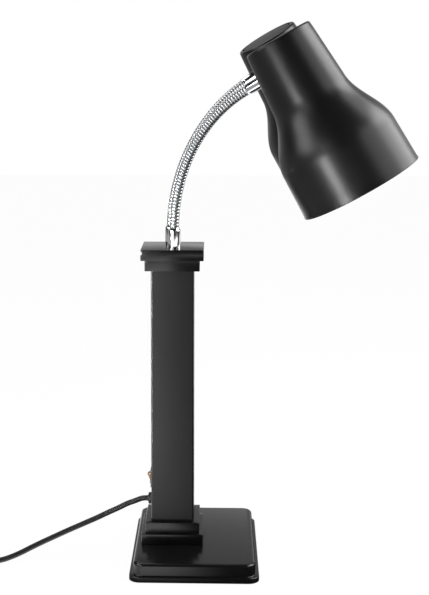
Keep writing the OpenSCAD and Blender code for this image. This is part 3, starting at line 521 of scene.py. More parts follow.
def grain_group():
    """Fine grain of a coating or a moulding: a height for bump, and a roughness that varies with it."""
    group, inside, outside = new_group(
        "Grain", {"Scale": 1500.0, "Roughness": 0.4, "Variation": 0.05}, {"Height": 0.5, "Roughness": 0.4}
    )
    wide_share = 0.012
    wide = noise(group, sums(group, "MULTIPLY", inside["Scale"], wide_share), detail=2.0)
    swing = sums(group, "MULTIPLY", sums(group, "SUBTRACT", wide, 0.5), inside["Variation"])
    feed(group, outside, {
        "Height": noise(group, inside["Scale"], detail=3.0, roughness=0.6),
        "Roughness": sums(group, "ADD", swing, inside["Roughness"]),
    })
    return group


def dust_group():
    """A thin film of dust: a colour that is a little paler in patches."""
    black, dust = (0.02, 0.02, 0.02, 1.0), (0.3, 0.29, 0.27, 1.0)
    group, inside, outside = new_group("Dust", {"Colour": black, "Amount": 0.02}, {"Colour": black})
    cloud = noise(group, scale=30.0, detail=4.0, roughness=0.6)
    limits = {"Value": cloud, "From Min": 0.42, "From Max": 0.72}
    patches = new_node(group, "MapRange", limits).outputs["Result"]
    mask = sums(group, "MULTIPLY", patches, inside["Amount"])
    mixed = {"Factor": mask, "A": inside["Colour"], "B": dust}
    feed(group, outside, {"Colour": new_node(group, "Mix", mixed, data_type="RGBA").outputs["Result"]})
    return group


def effect(tree, name, maker, **values):
    """What a shared group gives in a material; the group is made the first time that it is asked for."""
    group = bpy.data.node_groups.get(name) or maker()
    return new_node(tree, "Group", values, node_tree=group).outputs


# Each finish by its slot in the record: its name, its colour or the property that holds it, how metallic
# it is, its specular level and roughness, the scale and variation of its grain, its dust and its bump
FINISHES = {
    # Gloss enamel with a trace of orange peel, a finely textured powder coat, and a semi-gloss enamel
    "gloss_black": ("Gloss enamel", "enamel", 0.0, 0.42, 0.2, (160.0, 0.06), 0.003, 0.06),
    "satin_black": ("Powder coat", "powder", 0.0, 0.3, 0.31, (2400.0, 0.06), 0.003, 0.22),
    "crown_black": ("Crown enamel", "crown", 0.0, 0.25, 0.45, (900.0, 0.05), 0.005, 0.1),
    # Polished chrome, and the duller steel of the hoses
    "chrome": ("Chrome", "chrome", 1.0, 0.5, 0.1, (60.0, 0.06), 0.0, 0.01),
    "ribbed_steel": ("Ribbed steel", "ribbed", 1.0, 0.5, 0.32, (90.0, 0.08), 0.0, 0.02),
    # Plastics: the rocker's, the mouldings' with a fine spark-eroded grain, and the cord's smoother one
    "amber_plastic": ("Amber plastic", "amber", 0.0, 0.2, 0.38, (500.0, 0.05), 0.005, 0.05),
    "black_plastic": ("Black plastic", "plastic", 0.0, 0.35, 0.48, (1600.0, 0.08), 0.006, 0.2),
    "cord_black": ("Cord sheath", "sheath", 0.0, 0.35, 0.42, (700.0, 0.08), 0.008, 0.08),
    # The lamp's two coats: its silvered bowl and its frosted face
    "silvered_bowl": ("Silvered bowl", (0.78, 0.78, 0.76), 1.0, 0.5, 0.16, (90.0, 0.1), 0.02, 0.03),
    "lamp_glass": ("Frosted face", (0.86, 0.84, 0.8), 0.0, 0.5, 0.5, (1800.0, 0.08), 0.01, 0.25),
    # The pieces inside and underneath
    "zinc_steel": ("Zinc plate", (0.62, 0.63, 0.62), 1.0, 0.5, 0.32, (220.0, 0.15), 0.02, 0.08),
    "cast_iron": ("Cast iron", (0.09, 0.09, 0.09), 0.6, 0.5, 0.7, (260.0, 0.2), 0.1, 1.0),
    "foam": ("Foam sheet", (0.05, 0.05, 0.052), 0.0, 0.5, 0.9, (900.0, 0.1), 0.1, 0.8),
    "porcelain": ("Porcelain", (0.8, 0.78, 0.72), 0.0, 0.5, 0.18, (120.0, 0.05), 0.02, 0.03),
    "ivory_nylon": ("Ivory nylon", (0.74, 0.7, 0.6), 0.0, 0.5, 0.4, (500.0, 0.08), 0.02, 0.1),
    "brass": ("Brass", (0.76, 0.57, 0.27), 1.0, 0.5, 0.25, (180.0, 0.12), 0.02, 0.05),
    "nickel": ("Nickel plate", (0.68, 0.66, 0.62), 1.0, 0.5, 0.22, (140.0, 0.1), 0.01, 0.03),
    "lead_insulation": ("Lead insulation", (0.25, 0.13, 0.06), 0.0, 0.5, 0.4, (400.0, 0.08), 0.02, 0.05),
    "tie_grey": ("Woven tie", (0.07, 0.07, 0.075), 0.0, 0.5, 0.8, (1500.0, 0.1), 0.05, 0.8),
}
# What some finishes have besides: clear coats, and light that goes a little way into the rocker
EXTRAS = {
    "lamp_glass": {"Coat Weight": 0.25},
    "porcelain": {"Coat Weight": 0.5},
    "amber_plastic": {"Subsurface Weight": 0.15, "Subsurface Radius": (0.004, 0.002, 0.001)},
}


def finish(slot):
    """A slot's material, with its grain and a little dust, made the first time that it is asked for."""
    name, base, metallic, specular, roughness, (scale, variation), dust, bump = FINISHES[slot]
    known = bpy.data.materials.get(name)
    if known:
        return known
    material = bpy.data.materials.new(name)
    material.use_nodes = True
    tree = material.node_tree
    shader = tree.nodes["Principled BSDF"]
    if isinstance(base, str):
        base = getattr(settings("finish"), base)
    base = (*base, 1.0)
    feed(tree, shader, {"Base Color": base, "Metallic": metallic, "Roughness": roughness})
    feed(tree, shader, {"Specular IOR Level": specular, **EXTRAS.get(slot, {})})
    if dust:
        film = effect(tree, "Dust", dust_group, Colour=base, Amount=dust)
        feed(tree, shader, {"Base Color": film["Colour"]})
    coat = effect(tree, "Grain", grain_group, Scale=scale, Roughness=roughness, Variation=variation)
    grain_h = 0.2 * MM
    relief = new_node(tree, "Bump", {"Strength": bump, "Distance": grain_h, "Height": coat["Height"]})
    feed(tree, shader, {"Roughness": coat["Roughness"], "Normal": relief.outputs["Normal"]})
    return material


# The necks and heads: the same rules that place them in the frame

SEAT_STEPS = 9
FREE_STEPS = 154
NECK_STEPS = FREE_STEPS + 2 * SEAT_STEPS


def of_side(side, what):
    """A neck's own value: its azimuth, rise, spread or roll."""
    return getattr(settings("neck"), ("front_" if side == FRONT else "back_") + what)


def neck_direction(side, k):
    """The neck's direction at a step: straight up in its foot, then leaning over, then straight."""
    t = min(1.0, max(0.0, (k - SEAT_STEPS) / FREE_STEPS))
    rise = of_side(side, "rise")
    up = math.pi / 2 - (math.pi / 2 - rise) * t ** of_side(side, "spread")
    azimuth = of_side(side, "azimuth")
    return Vector((math.cos(up) * math.cos(azimuth), side * math.cos(up) * math.sin(azimuth), math.sin(up)))


def neck_points(side):
    """The hose's centre at every step, from inside the foot ferrule to inside the head ferrule."""
    neck = settings("neck")
    foot_z = high("cap", "Z") + neck.foot_ferrule_h - neck.seat
    points = [Vector((-side * neck.foot_x, side * neck.foot_y, foot_z)) * MM]
    for k in range(NECK_STEPS):
        seated = k < SEAT_STEPS or k >= SEAT_STEPS + FREE_STEPS
        step = neck.seat / SEAT_STEPS if seated else neck.free / FREE_STEPS
        points.append(points[-1] + step * MM * neck_direction(side, k + 0.5))
    return points


def eased(share):
    """A share from 0 to 1 that starts and ends gently."""
    return 0.5 - 0.5 * math.cos(math.pi * share)


def shade_radius(s):
    """The shade's outer radius at a distance from its top."""
    shade = settings("shade")
    if s < shade.waist_s:
        return shade.top_r + (shade.waist_r - shade.top_r) * s / shade.waist_s
    if s < shade.bell_s:
        share = (s - shade.waist_s) / (shade.bell_s - shade.waist_s)
        return shade.waist_r + (shade.bell_r - shade.waist_r) * eased(share)
    share = (s - shade.bell_s) / (shade.whole - shade.bell_s)
    return shade.bell_r + (shade.mouth_r - shade.bell_r) * share


def entry_radius():
    """The shade's radius where the neck enters."""
    return shade_radius(settings("shade").entry_s)


def head_matrix(side):
    """From a head's own frame, on the shade's axis and level with the neck's end, to the lamp's frame."""
    neck = settings("neck")
    along = neck_direction(side, NECK_STEPS)
    neck_end = neck_points(side)[-1] + (neck.head_ferrule_l - neck.seat) * MM * along
    place = neck_end + entry_radius() * MM * along
    turn = Matrix.Rotation(side * of_side(side, "azimuth"), 4, "Z")
    turn = turn @ Matrix.Rotation(-of_side(side, "rise"), 4, "Y")
    turn = turn @ Matrix.Rotation(-side * of_side(side, "roll"), 4, "X")
    return Matrix.Translation(place) @ turn


# The stage


class HEATLAMP_OT_stage(bpy.types.Operator):
    """Set up the camera, the floor, the world and the studio lamps"""

    bl_idname = "heat_lamp.stage"
    bl_label = "Stage"

    def execute(self, context):
        self.camera(context)
        self.floor()
        self.world(context)
        self.lamps()
        context.scene.view_settings.view_transform = "Standard"
        return {"FINISHED"}

    def camera(self, context):
        """The photograph's viewpoint, worked out from the lamp's own edges in its 429 by 595 frame."""
        width, height = 429, 595
        focal_px, sensor_w = 1250.0, 36.0
        place = (0.05454, -1.5968, 0.6337)
        tilt, yaw = 0.1212, 0.0299
        axis_px = (178.25, 222.64)
        rest_hands()
        bpy.ops.object.camera_add(location=place, rotation=(math.pi / 2 - tilt, 0, yaw))
        camera = named("Camera")
        camera.data.sensor_width = sensor_w
        camera.data.lens = focal_px / height * sensor_w
        camera.data.shift_x = (width / 2 - axis_px[0]) / height
        camera.data.shift_y = (axis_px[1] - height / 2) / height
        context.scene.camera = camera

    def painted_floor_light(self, tree):
        """How much of its light the floor keeps in gloss, as painted light and shade seen only in
        reflections.

        It keeps little close to the base, a painted shadow, and to the right beside it, a painted shade; it
        keeps more far in front and behind, painted pools of light.
        Each sweep runs between two places, in metres, and has its level at each.
        """
        x, y, _ = new_node(tree, "SeparateXYZ", {0: coordinates(tree)}).outputs
        away = []
        for axis, place in (("X", x), ("Y", y)):
            offset = sums(tree, "SUBTRACT", place, middle("base_pan", axis) * MM)
            half = extent("base_pan", axis) / 2 * MM
            away.append(sums(tree, "SUBTRACT", sums(tree, "ABSOLUTE", offset), half))
        # Painted shadow: the floor's glow in gloss drops close round the base, so the base's lower edges
        # reflect a dark band
        clear = swept(tree, sums(tree, "MAXIMUM", *away), 0.0, 0.08, 0.04, 1.0)
        aslant = sums(tree, "SUBTRACT", x, sums(tree, "MULTIPLY", y, 0.08))
        # Painted light to the left of the base and painted shade to the right, along a slanting line
        across = swept(tree, aslant, -0.03, 0.1, 2.3, 0.05)
        # Painted shade: dimmer far to the left
        left = swept(tree, x, -0.42, -0.14, 0.15, 1.0)
        # Painted light: a bright stretch of floor beyond the camera, brighter to the right
        painted_light_near_camera = [swept(tree, y, -2.6, -2.1, 1.0, 0.0), swept(tree, x, -0.2, 0.03, 0.3, 1.7)]
        # Painted light: a brighter stretch of floor behind the lamp, right of its centre
        behind = [swept(tree, y, 0.25, 0.7, 0.0, 1.0), swept(tree, x, -0.25, 0.0, 0.0, 0.8)]
        parts = [sums(tree, "MULTIPLY", *part) for part in ((clear, across, left), painted_light_near_camera, behind)]
        return sums(tree, "MAXIMUM", *parts)

    def rays(self, tree):
        """Whether a ray comes straight or through glass from the camera, and the outlets for other rays."""
        outlets = new_node(tree, "LightPath").outputs
        seen = sums(tree, "MAXIMUM", outlets["Is Camera Ray"], outlets["Is Transmission Ray"])
        return seen, outlets

    def floor(self):
        """A pale floor that looks white to the camera, shows painted light and shade in gloss, and still
        takes a shadow.
        """
        floor_w, grey, roughness, in_view = 12, 0.82, 0.9, 0.97
        rest_hands()
        bpy.ops.mesh.primitive_plane_add(size=floor_w)
        floor = named("Floor")
        material = bpy.data.materials.new("Pale floor")
        material.use_nodes = True
        tree = material.node_tree
        matt = tree.nodes["Principled BSDF"]
        feed(tree, matt, {"Base Color": (grey, grey, grey, 1.0), "Roughness": roughness})
        seen, outlets = self.rays(tree)
        glossy = outlets["Is Glossy Ray"]
        # In gloss the floor's glow carries the painted light and shade
        strength = sums(tree, "MAXIMUM", seen, sums(tree, "MULTIPLY", glossy, self.painted_floor_light(tree)))
        glow = new_node(tree, "Emission", {"Strength": strength}).outputs["Emission"]
        share = sums(tree, "MAXIMUM", sums(tree, "MULTIPLY", seen, in_view), glossy)
        mix = new_node(tree, "MixShader", {"Fac": share, 1: matt.outputs["BSDF"], 2: glow})
        feed(tree, tree.nodes["Material Output"], {"Surface": mix.outputs["Shader"]})
        floor.data.materials.append(material)

    def world(self, context):
        """White to the camera and soft in diffuse light; in gloss, bright behind and less so overhead."""
        world = bpy.data.worlds.new("Studio")
        world.use_nodes = True
        context.scene.world = world
        tree = world.node_tree
        seen, outlets = self.rays(tree)
        _, y, z = new_node(tree, "SeparateXYZ", {0: coordinates(tree, "Generated")}).outputs
        behind = swept(tree, y, 0.55, 0.93, 0.05, 0.82)
        overhead = swept(tree, z, 0.18, 0.3, 0.88, 0.5)
        gloss = sums(tree, "MULTIPLY", outlets["Is Glossy Ray"], behind, overhead)
        diffuse = 0.35
        soft = sums(tree, "MULTIPLY", outlets["Is Diffuse Ray"], diffuse)
        bright = sums(tree, "MAXIMUM", seen, sums(tree, "ADD", gloss, soft))
        feed(tree, tree.nodes["Background"], {"Color": (1.0, 1.0, 1.0, 1.0), "Strength": bright})

    def lamps(self):
        """Soft boxes to the right, to the left and overhead."""
        # The place, aim, size, power and spread, in degrees, of each
        lamps = {
            "Right box": ((1.35, 0.25, 1.15), (0.1, 0.0, 0.5), (1.2, 1.3), 30.0, 180),
            "Right panel": ((1.1, -0.65, 1.0), (0.2, -0.1, 0.55), (0.9, 1.0), 7.5, 180),
            "Right high box": ((0.9, 0.0, 1.5), (0.25, -0.15, 0.58), (0.5, 0.8), 4.3, 180),
            "Left box": ((-0.58, -1.04, 0.58), (0.12, -0.1, 0.55), (0.52, 0.9), 3.6, 180),
            "Left low box": ((-0.44, -1.12, 0.18), (0.22, -0.18, 0.5), (0.25, 0.3), 0.21, 24),
            "Left high box": ((-0.92, -0.46, 0.83), (0.15, -0.17, 0.56), (0.62, 0.46), 6.0, 180),
            "Left strip": ((-0.42, -0.42, 0.3), (-0.076, 0.009, 0.3), (0.06, 0.4), 2.1, 20),
            "Top box": ((-0.5, 0.55, 1.8), (0.1, 0.0, 0.6), (1.2, 1.2), 9.0, 180),
        }
        for name, (place, aim, size, power, spread) in lamps.items():
            rest_hands()
            look = Vector(aim) - Vector(place)
            turn = look.to_track_quat("-Z", "Y").to_euler()
            bpy.ops.object.light_add(type="AREA", location=place, rotation=turn)
            lamp = named(name)
            lamp.visible_camera = False
            lamp.data.shape = "RECTANGLE"
            lamp.data.size, lamp.data.size_y = size
            lamp.data.spread = math.radians(spread)
            lamp.data.energy = power


# The cord, its gland, its tie and its plug


class HEATLAMP_OT_cord(bpy.types.Operator):
    """Lay the mains cord from its gland to its coil and plug"""

    bl_idname = "heat_lamp.cord"
    bl_label = "Mains cord"

    # The lead, from the gland to the coil
    lead = [
        (-40.7, 0, 71.5), (-50, -1, 68.4), (-61, -2, 64.5), (-72, -4, 59.5), (-86, -6, 53.5),
        (-100, -9, 47.5), (-114, -12, 42), (-128, -15, 36.5), (-142, -18, 31), (-156, -22, 25.5),
        (-170, -26, 20), (-184, -31, 14.5), (-197, -37, 9.5), (-209, -43, 6), (-220, -49, 4.2),
        (-232, -53, 3.6), (-244, -55.5, 3.6), (-257, -57, 3.8), (-270, -57, 4.2), (-280, -57, 4.2),
    ]
    coil_x = -290.0
    coil_edge_y = -57.0
    coil_z = 4.2
    # The tail, from the coil's end: steps along -Y and up
    tail = [(-8, 0), (-20, 1.2), (-32, 3.9), (-42, 6.4), (-50, 7.3), (-58, 7.3)]

    def exit(self):
        """Where the cord leaves the gland's nose."""
        return (low("gland", "X"), 0.0, settings("cord").gland_z)

    def coil_centre(self):
        """The middle of the coil on the table."""
        return (self.coil_x, self.coil_edge_y - settings("cord").coil_r)

    def coil_point(self, turn):
        """The coil winds in on the table, climbs a layer in half a turn, and winds out on top."""
        cord = settings("cord")
        halfway = cord.coil_turns / 2
        r = cord.coil_r - cord.coil_pitch * (halfway - abs(turn - halfway))
        climb = min(1.0, max(0.0, (turn - halfway) * 2 + 0.5))
        a = math.radians(90 + 360 * turn)
        x, y = self.coil_centre()
        return (x + r * math.cos(a), y + r * math.sin(a), self.coil_z + cord.coil_pitch * eased(climb))

    def route(self):
        """Every point that the cord passes through."""
        cord = settings("cord")
        steps = 24
        turns = [self.coil_point(i / steps) for i in range(int(cord.coil_turns * steps) + 1)]
        x, y, z = turns[-1]
        tail = [(x, y + step, z + rise) for step, rise in self.tail]
        return [self.exit()] + self.lead + turns + tail

    def execute(self, context):
        cord = settings("cord")
        points = [Vector(place) * MM for place in self.route()]
        line, knots = drawn_curve("mains_cord", "BEZIER", points)
        for knot in knots:
            knot.handle_left_type = "AUTO"
            knot.handle_right_type = "AUTO"
        knot_steps = 4
        line.data.resolution_u = knot_steps
        line.data.render_resolution_u = knot_steps
        line.data.bevel_depth = cord.r * MM
        line.data.bevel_resolution = 5
        line.data.use_fill_caps = True
        line.data.materials.append(finish("cord_black"))
        gland = self.gland()
        tie = self.tie()
        plug = self.plug(points[-1])
        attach(line, "root")
        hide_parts("cord_lead", "cord_coil", "cord_tail")
        return {"FINISHED"}

    def gland(self):
        """The gland: a round flange on the column's face, a tapered nose and a barrel through the wall."""
        cord = settings("cord")
        flange_t, edge_r, chamfer = 5.0, 1.3, 0.3
        nose_l, nose_r, nose_edge_r = 1.2, cord.r + 0.7, 0.6
        barrel_l, barrel_r, seam = 15.0, 6.1, 0.01
        bore, face = cord.r + 0.1, cord.gland_flange_r
        tip = flange_t + nose_l
        profile = (
            [(bore, -barrel_l), (barrel_r - 0.4, -barrel_l), (barrel_r, 0.5 - barrel_l)]
            + [(barrel_r, -seam), (face - chamfer, -seam), (face, chamfer)]
            + arc((face - edge_r, flange_t - edge_r), edge_r, 0, 90, 6)
            + [(nose_r + 0.6, flange_t), (nose_r + 0.1, flange_t + chamfer)]
            + arc((nose_r - 0.5, tip - nose_edge_r), nose_edge_r, 0, 90, 3)
            + [(bore, tip), (bore, -barrel_l)]
        )
        gland = turned("cord_gland", profile, 64)
        put(gland, at(low("column", "X"), 0, cord.gland_z) @ LEFTWARDS)
        return finished(gland, "root", "black_plastic", ["gland"])

    def tie(self):
        """A woven strip round the coil's bundle, with soft corners."""
        cord = settings("cord")
        sheet, width, corner_r, slack, clearance = 0.6, 8.0, 2.4, 1.0, 0.1
        inner = cord.coil_r - cord.coil_pitch * cord.coil_turns / 2 - cord.r - slack
        outer = cord.coil_r + cord.r + slack
        tall = self.coil_z + cord.coil_pitch + cord.r + clearance
        strip = rounded_plane("coil_strap", outer - inner + 2 * sheet, tall + sheet, corner_r, 5)
        inset(sheet)
        bpy.ops.mesh.delete(type="FACE")
        everything()
        extrude(width)
        outwards()
        upright = Matrix.Rotation(math.pi / 2, 4, "X")
        x, y = self.coil_centre()
        place = at(x, y, 0) @ Matrix.Rotation(-math.pi / 4, 4, "Z")
        put(strip, place @ at((inner + outer) / 2, width / 2, (tall + sheet) / 2) @ upright)
        return finished(strip, "root", "tie_grey", ["cord_tie"])

    def plug(self, seat):
        """The moulded plug: a ribbed sleeve that swells into a grip with a flat face."""
        cord = settings("cord")
        sleeve_l, body_l, shoulder, sunk = 24.0, 30.0, 12.0, 1.0
        root_w, root_h, root_corner_r = 16.0, 14.0, 5.0
        face_w, face_h, face_edge_r, face_rim = 37.0, 36.0, 1.5, 2.0
        ribs, first_rib, rib_pitch, rib_depth = 5, 3.0, 3.6, 0.7
        sheath_t, swell = 1.2, 2.0
        profile = [(0, 0.2), (cord.r + 0.6, 0.2), (cord.r + 1.1, 0.8)]
        for i in range(ribs):
            z = first_rib + rib_pitch * i
            r = cord.r + sheath_t + swell * z / sleeve_l
            profile += [(r - rib_depth, z), (r, z + 0.5), (r, z + 1.7), (r - rib_depth, z + 2.2)]
        sleeve = turned("plug_sleeve", profile + [(cord.r + sheath_t + swell, sleeve_l), (0, sleeve_l)], 48)
        now = (root_w, root_h, sleeve_l - sunk)
        grip = rounded_plane("plug_grip", root_w, root_h, root_corner_r, 8, (0, 0, now[2]))
        for share in (0.12, 0.35, 0.62, 0.85, 1.0):
            grown = math.sin(math.pi / 2 * share)
            wide = root_w + (face_w - root_w) * grown
            tall = root_h + (face_h - root_h) * grown
            up = sleeve_l - sunk + (shoulder + sunk) * share
            extrude(up - now[2])
            resize(wide / now[0], tall / now[1])
            now = (wide, tall, up)
        extrude(body_l - shoulder)
        face = level(sleeve_l + body_l)
        soften(grip, face, face_edge_r, 4)
        pick(grip, "faces", face)
        inset(face_rim)
        outwards()
        plug = joined("mains_plug", [grip, sleeve])
        put(plug, Matrix.Translation(seat) @ Matrix.Rotation(math.pi / 2, 4, "X"))
        return finished(plug, "root", "black_plastic", ["plug_body"])


# The base, the mouldings and the column


class HEATLAMP_OT_base(bpy.types.Operator):
    """Press the base pan from sheet: a low flange and a raised flat top"""

    bl_idname = "heat_lamp.base"
    bl_label = "Base pan"

    def execute(self, context):
        base = settings("base")
        size = [extent("base_pan", axis) for axis in "XY"]
        centre = [middle("base_pan", axis) for axis in "XY"]
        bottom, top, ledge_z = low("base_pan", "Z"), high("base_pan", "Z"), base.flange_h
        corner_r, foot_r = base.corner_r, 1.0
        pan = rounded_plane("base_pan_sheet", *size, corner_r, 14, (*centre, bottom))
        extrude(ledge_z - bottom)
        narrow(*(1 - 2 * base.ledge / across for across in size), (*centre, 0))
        extrude(top - ledge_z)
        soften(pan, level(top), base.edge_r, 6)

        def on_rim(v, slack=0.3):
            """True on the flange's outer edge, round corners and all."""
            across, along = (size[i] / 2 - abs(v.co[i] / MM - centre[i]) for i in (0, 1))
            if max(across, along) < corner_r:
                return math.hypot(corner_r - across, corner_r - along) > corner_r - slack
            return min(across, along) < slack

        ledge = level(ledge_z)
        soften(pan, lambda e: ledge(e) and not any(on_rim(v) for v in e.verts), foot_r, 3)
        soften(pan, lambda e: ledge(e) and all(on_rim(v) for v in e.verts), base.flange_edge_r, 4)
        pick(pan, "faces", level(bottom))
        bpy.ops.mesh.delete(type="FACE")
        outwards()
        modify(pan, "SOLIDIFY", thickness=base.wall * MM, offset=-1.0, use_even_offset=True)
        finished(pan, "root", "gloss_black", ["base_pan"])
        return {"FINISHED"}


class HEATLAMP_OT_mouldings(bpy.types.Operator):
    """Form the plinth and the cap: two steps with a socket for the column"""

    bl_idname = "heat_lamp.mouldings"
    bl_label = "Plinth and cap"

    def moulding(self, name, node):
        """A moulding on its outer step, from z = 0 up."""
        base = settings("base")
        outer_w, step_h = extent(node, "X"), extent(node, "Z") / 2
        clearance = 0.15
        socket_w = 2 * (high("column", "X") + clearance)
        piece = rounded_plane(name, outer_w, outer_w, base.step_corner_r, 4)
        extrude(step_h)
        narrow(base.step_w / outer_w)
        extrude(step_h)
        rim = (outer_w / 2 - 2 * base.step_corner_r) * MM

        def outer(edge):
            """True for the edges round the lower step."""
            return level(step_h)(edge) and all(max(abs(v.co.x), abs(v.co.y)) > rim for v in edge.verts)

        for test in (outer, level(2 * step_h)):
            soften(piece, test, base.step_edge_r, 3)
        pick(piece, "faces", level(2 * step_h))
        narrow(socket_w / (base.step_w - 2 * base.step_edge_r))
        extrude(-base.socket_depth)
        soften(piece, level(0), base.step_edge_r, 3)
        outwards()
        return piece

    def execute(self, context):
        plinth = self.moulding("plinth_moulding", "plinth")
        put(plinth, at(0, 0, low("plinth", "Z")))
        finished(plinth, "root", "gloss_black", ["plinth"])
        cap = self.moulding("cap_moulding", "cap")
        over = Matrix.Rotation(math.pi, 4, "X")
        put(cap, at(0, 0, high("cap", "Z")) @ over)
        finished(cap, "root", "gloss_black", ["cap"])
        return {"FINISHED"}


class HEATLAMP_OT_hardware(bpy.types.Operator):
    """Give the column and the pieces inside and underneath their finishes"""

    bl_idname = "heat_lamp.hardware"
    bl_label = "Column and hardware"

    def execute(self, context):
        for row in frame["record"]["subparts"]:
            mesh = NODES[row["node"]].data
            mesh.materials.clear()
            mesh.materials.append(finish(row["material_slot"]))
        return {"FINISHED"}


# The necks


class HEATLAMP_OT_necks(bpy.types.Operator):
    """Wind the ribbed hoses and bend them between their ferrules"""

    bl_idname = "heat_lamp.necks"
    bl_label = "Flexible necks"

    # Each stretch of hose: its first and last step, the steps where the bend starts and ends, and its number
    # of ribs
    stretches = [(0, 48, 12, 47, 16), (48, 86, 49, 85, 13), (86, 124, 87, 123, 13), (124, 172, 125, 160, 16)]
    bodies = ["root", "neck_low", "neck_mid", "neck_high", "head"]
    stood_for = [("hose_1", "hose_2"), ("hose_3",), ("hose_4",), ("hose_5",)]

    def wound(self, name, start, end, turns):
        """A straight stretch of hose wound about Z: one rounded rib for each turn."""
        neck = settings("neck")
        pitch = (end - start) / turns
        rib_points, facets = 8, 28
        profile = []
        for i in range(rib_points + 1):
            share = i / rib_points
            bulge = math.sqrt(max(0.0, math.sin(math.pi * share)))
            profile.append((neck.hose_r - neck.groove * (1 - bulge), 0, start + pitch * share))
        hose = drawn_line(name, profile)
        rest_hands()
        modify(
            hose, "SCREW", axis="Z", angle=2 * math.pi, screw_offset=pitch * MM, iterations=turns,
            steps=facets, render_steps=facets, use_merge_vertices=False, use_smooth_shade=True,
        )
        open_mesh(hose)
        weld(0.002)
        bpy.ops.mesh.fill_holes(sides=0)
        outwards()
        return hose

    def execute(self, context):
        for label, side in SIDES.items():
            points = neck_points(side)
            travelled = [0.0]
            for here, there in zip(points, points[1:]):
                travelled.append(travelled[-1] + (there - here).length / MM)
            guide, _ = drawn_curve("neck_guide", "POLY", points)
            guide.data.twist_mode = "MINIMUM"
            for i, (first, last, bend_start, bend_end, ribs) in enumerate(self.stretches):
                hose = self.wound(f"{label}_hose_stretch_{i + 1}", travelled[first], travelled[last], ribs)
                modify(hose, "CURVE", object=guide, deform_axis="POS_Z")
                stood_for = [f"{label}_{n}" for n in self.stood_for[i]]
                finished(hose, None, "chrome", stood_for, 60.0, "ribbed_steel")
                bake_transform(hose)
            take(guide)
            bpy.ops.object.delete()
            self.foot_ferrule(label, side)
            self.head_ferrule(label, side)
        return {"FINISHED"}

    def sleeve(self, name, nipple_l, skirt, r, tall, shoulder, lip):
        """A bright sleeve: the nipple below it, its skirt, its shoulder and its lip round the hose."""
        neck = settings("neck")
        bore, chamfer, lip_h = neck.hose_r + 0.1, 0.5, 0.3
        shoulder_r, shoulder_h = shoulder
        return turned(
            name,
            [(0, -nipple_l), (neck.nipple_r - chamfer, -nipple_l), (neck.nipple_r, chamfer - nipple_l)]
            + skirt
            + [(r, tall - shoulder_h)]
            + arc((r - shoulder_r, tall - shoulder_h), shoulder_r, 0, 60, 4)
            + [(bore + out, tall + up) for out, up in lip]
            + [(bore, tall - lip_h), (bore, tall - neck.seat), (0, tall - neck.seat)],
        )

    def foot_ferrule(self, label, side):
        """The sleeve on the cap, with its nipple through the top plate."""
        neck = settings("neck")
        r, edge = neck.foot_ferrule_r, 0.4
        nipple_l = high("cap", "Z") - low("foot_ferrules", "Z")
        skirt = [(neck.nipple_r, 0), (r - edge, 0), (r, edge)]
        lip = [(0.35, -0.4), (0.1, 0)]
        name, tall, shoulder = f"{label}_foot_ferrule", neck.foot_ferrule_h, (1.2, 3.2)
        ferrule = self.sleeve(name, nipple_l, skirt, r, tall, shoulder, lip)
        put(ferrule, at(-side * neck.foot_x, side * neck.foot_y, high("cap", "Z")))
        finished(ferrule, "root", "chrome", ["foot_ferrules"] if side == FRONT else [])

    def head_ferrule(self, label, side):
        """The sleeve at the shade, flared towards it, with its nipple inside the shade."""
        neck = settings("neck")
        flare_r = neck.head_ferrule_r + neck.head_ferrule_flare
        sunk, nipple_l = 0.95, 13.1
        skirt = [(neck.nipple_r, -sunk), (flare_r, -sunk), (flare_r, 1.8), (flare_r - 0.35, 2.1)]
        lip = [(0.2, -0.3), (0.05, 0)]
        name, tall, shoulder = f"{label}_head_ferrule_sleeve", neck.head_ferrule_l, (0.9, 3.0)
        ferrule = self.sleeve(name, nipple_l, skirt, neck.head_ferrule_r, tall, shoulder, lip)
        put(ferrule, head_matrix(side) @ (at(-entry_radius(), 0, 0) @ LEFTWARDS))
        finished(ferrule, f"{label}_head", "chrome", [f"{label}_head_ferrule"])


# The shades and what they hold


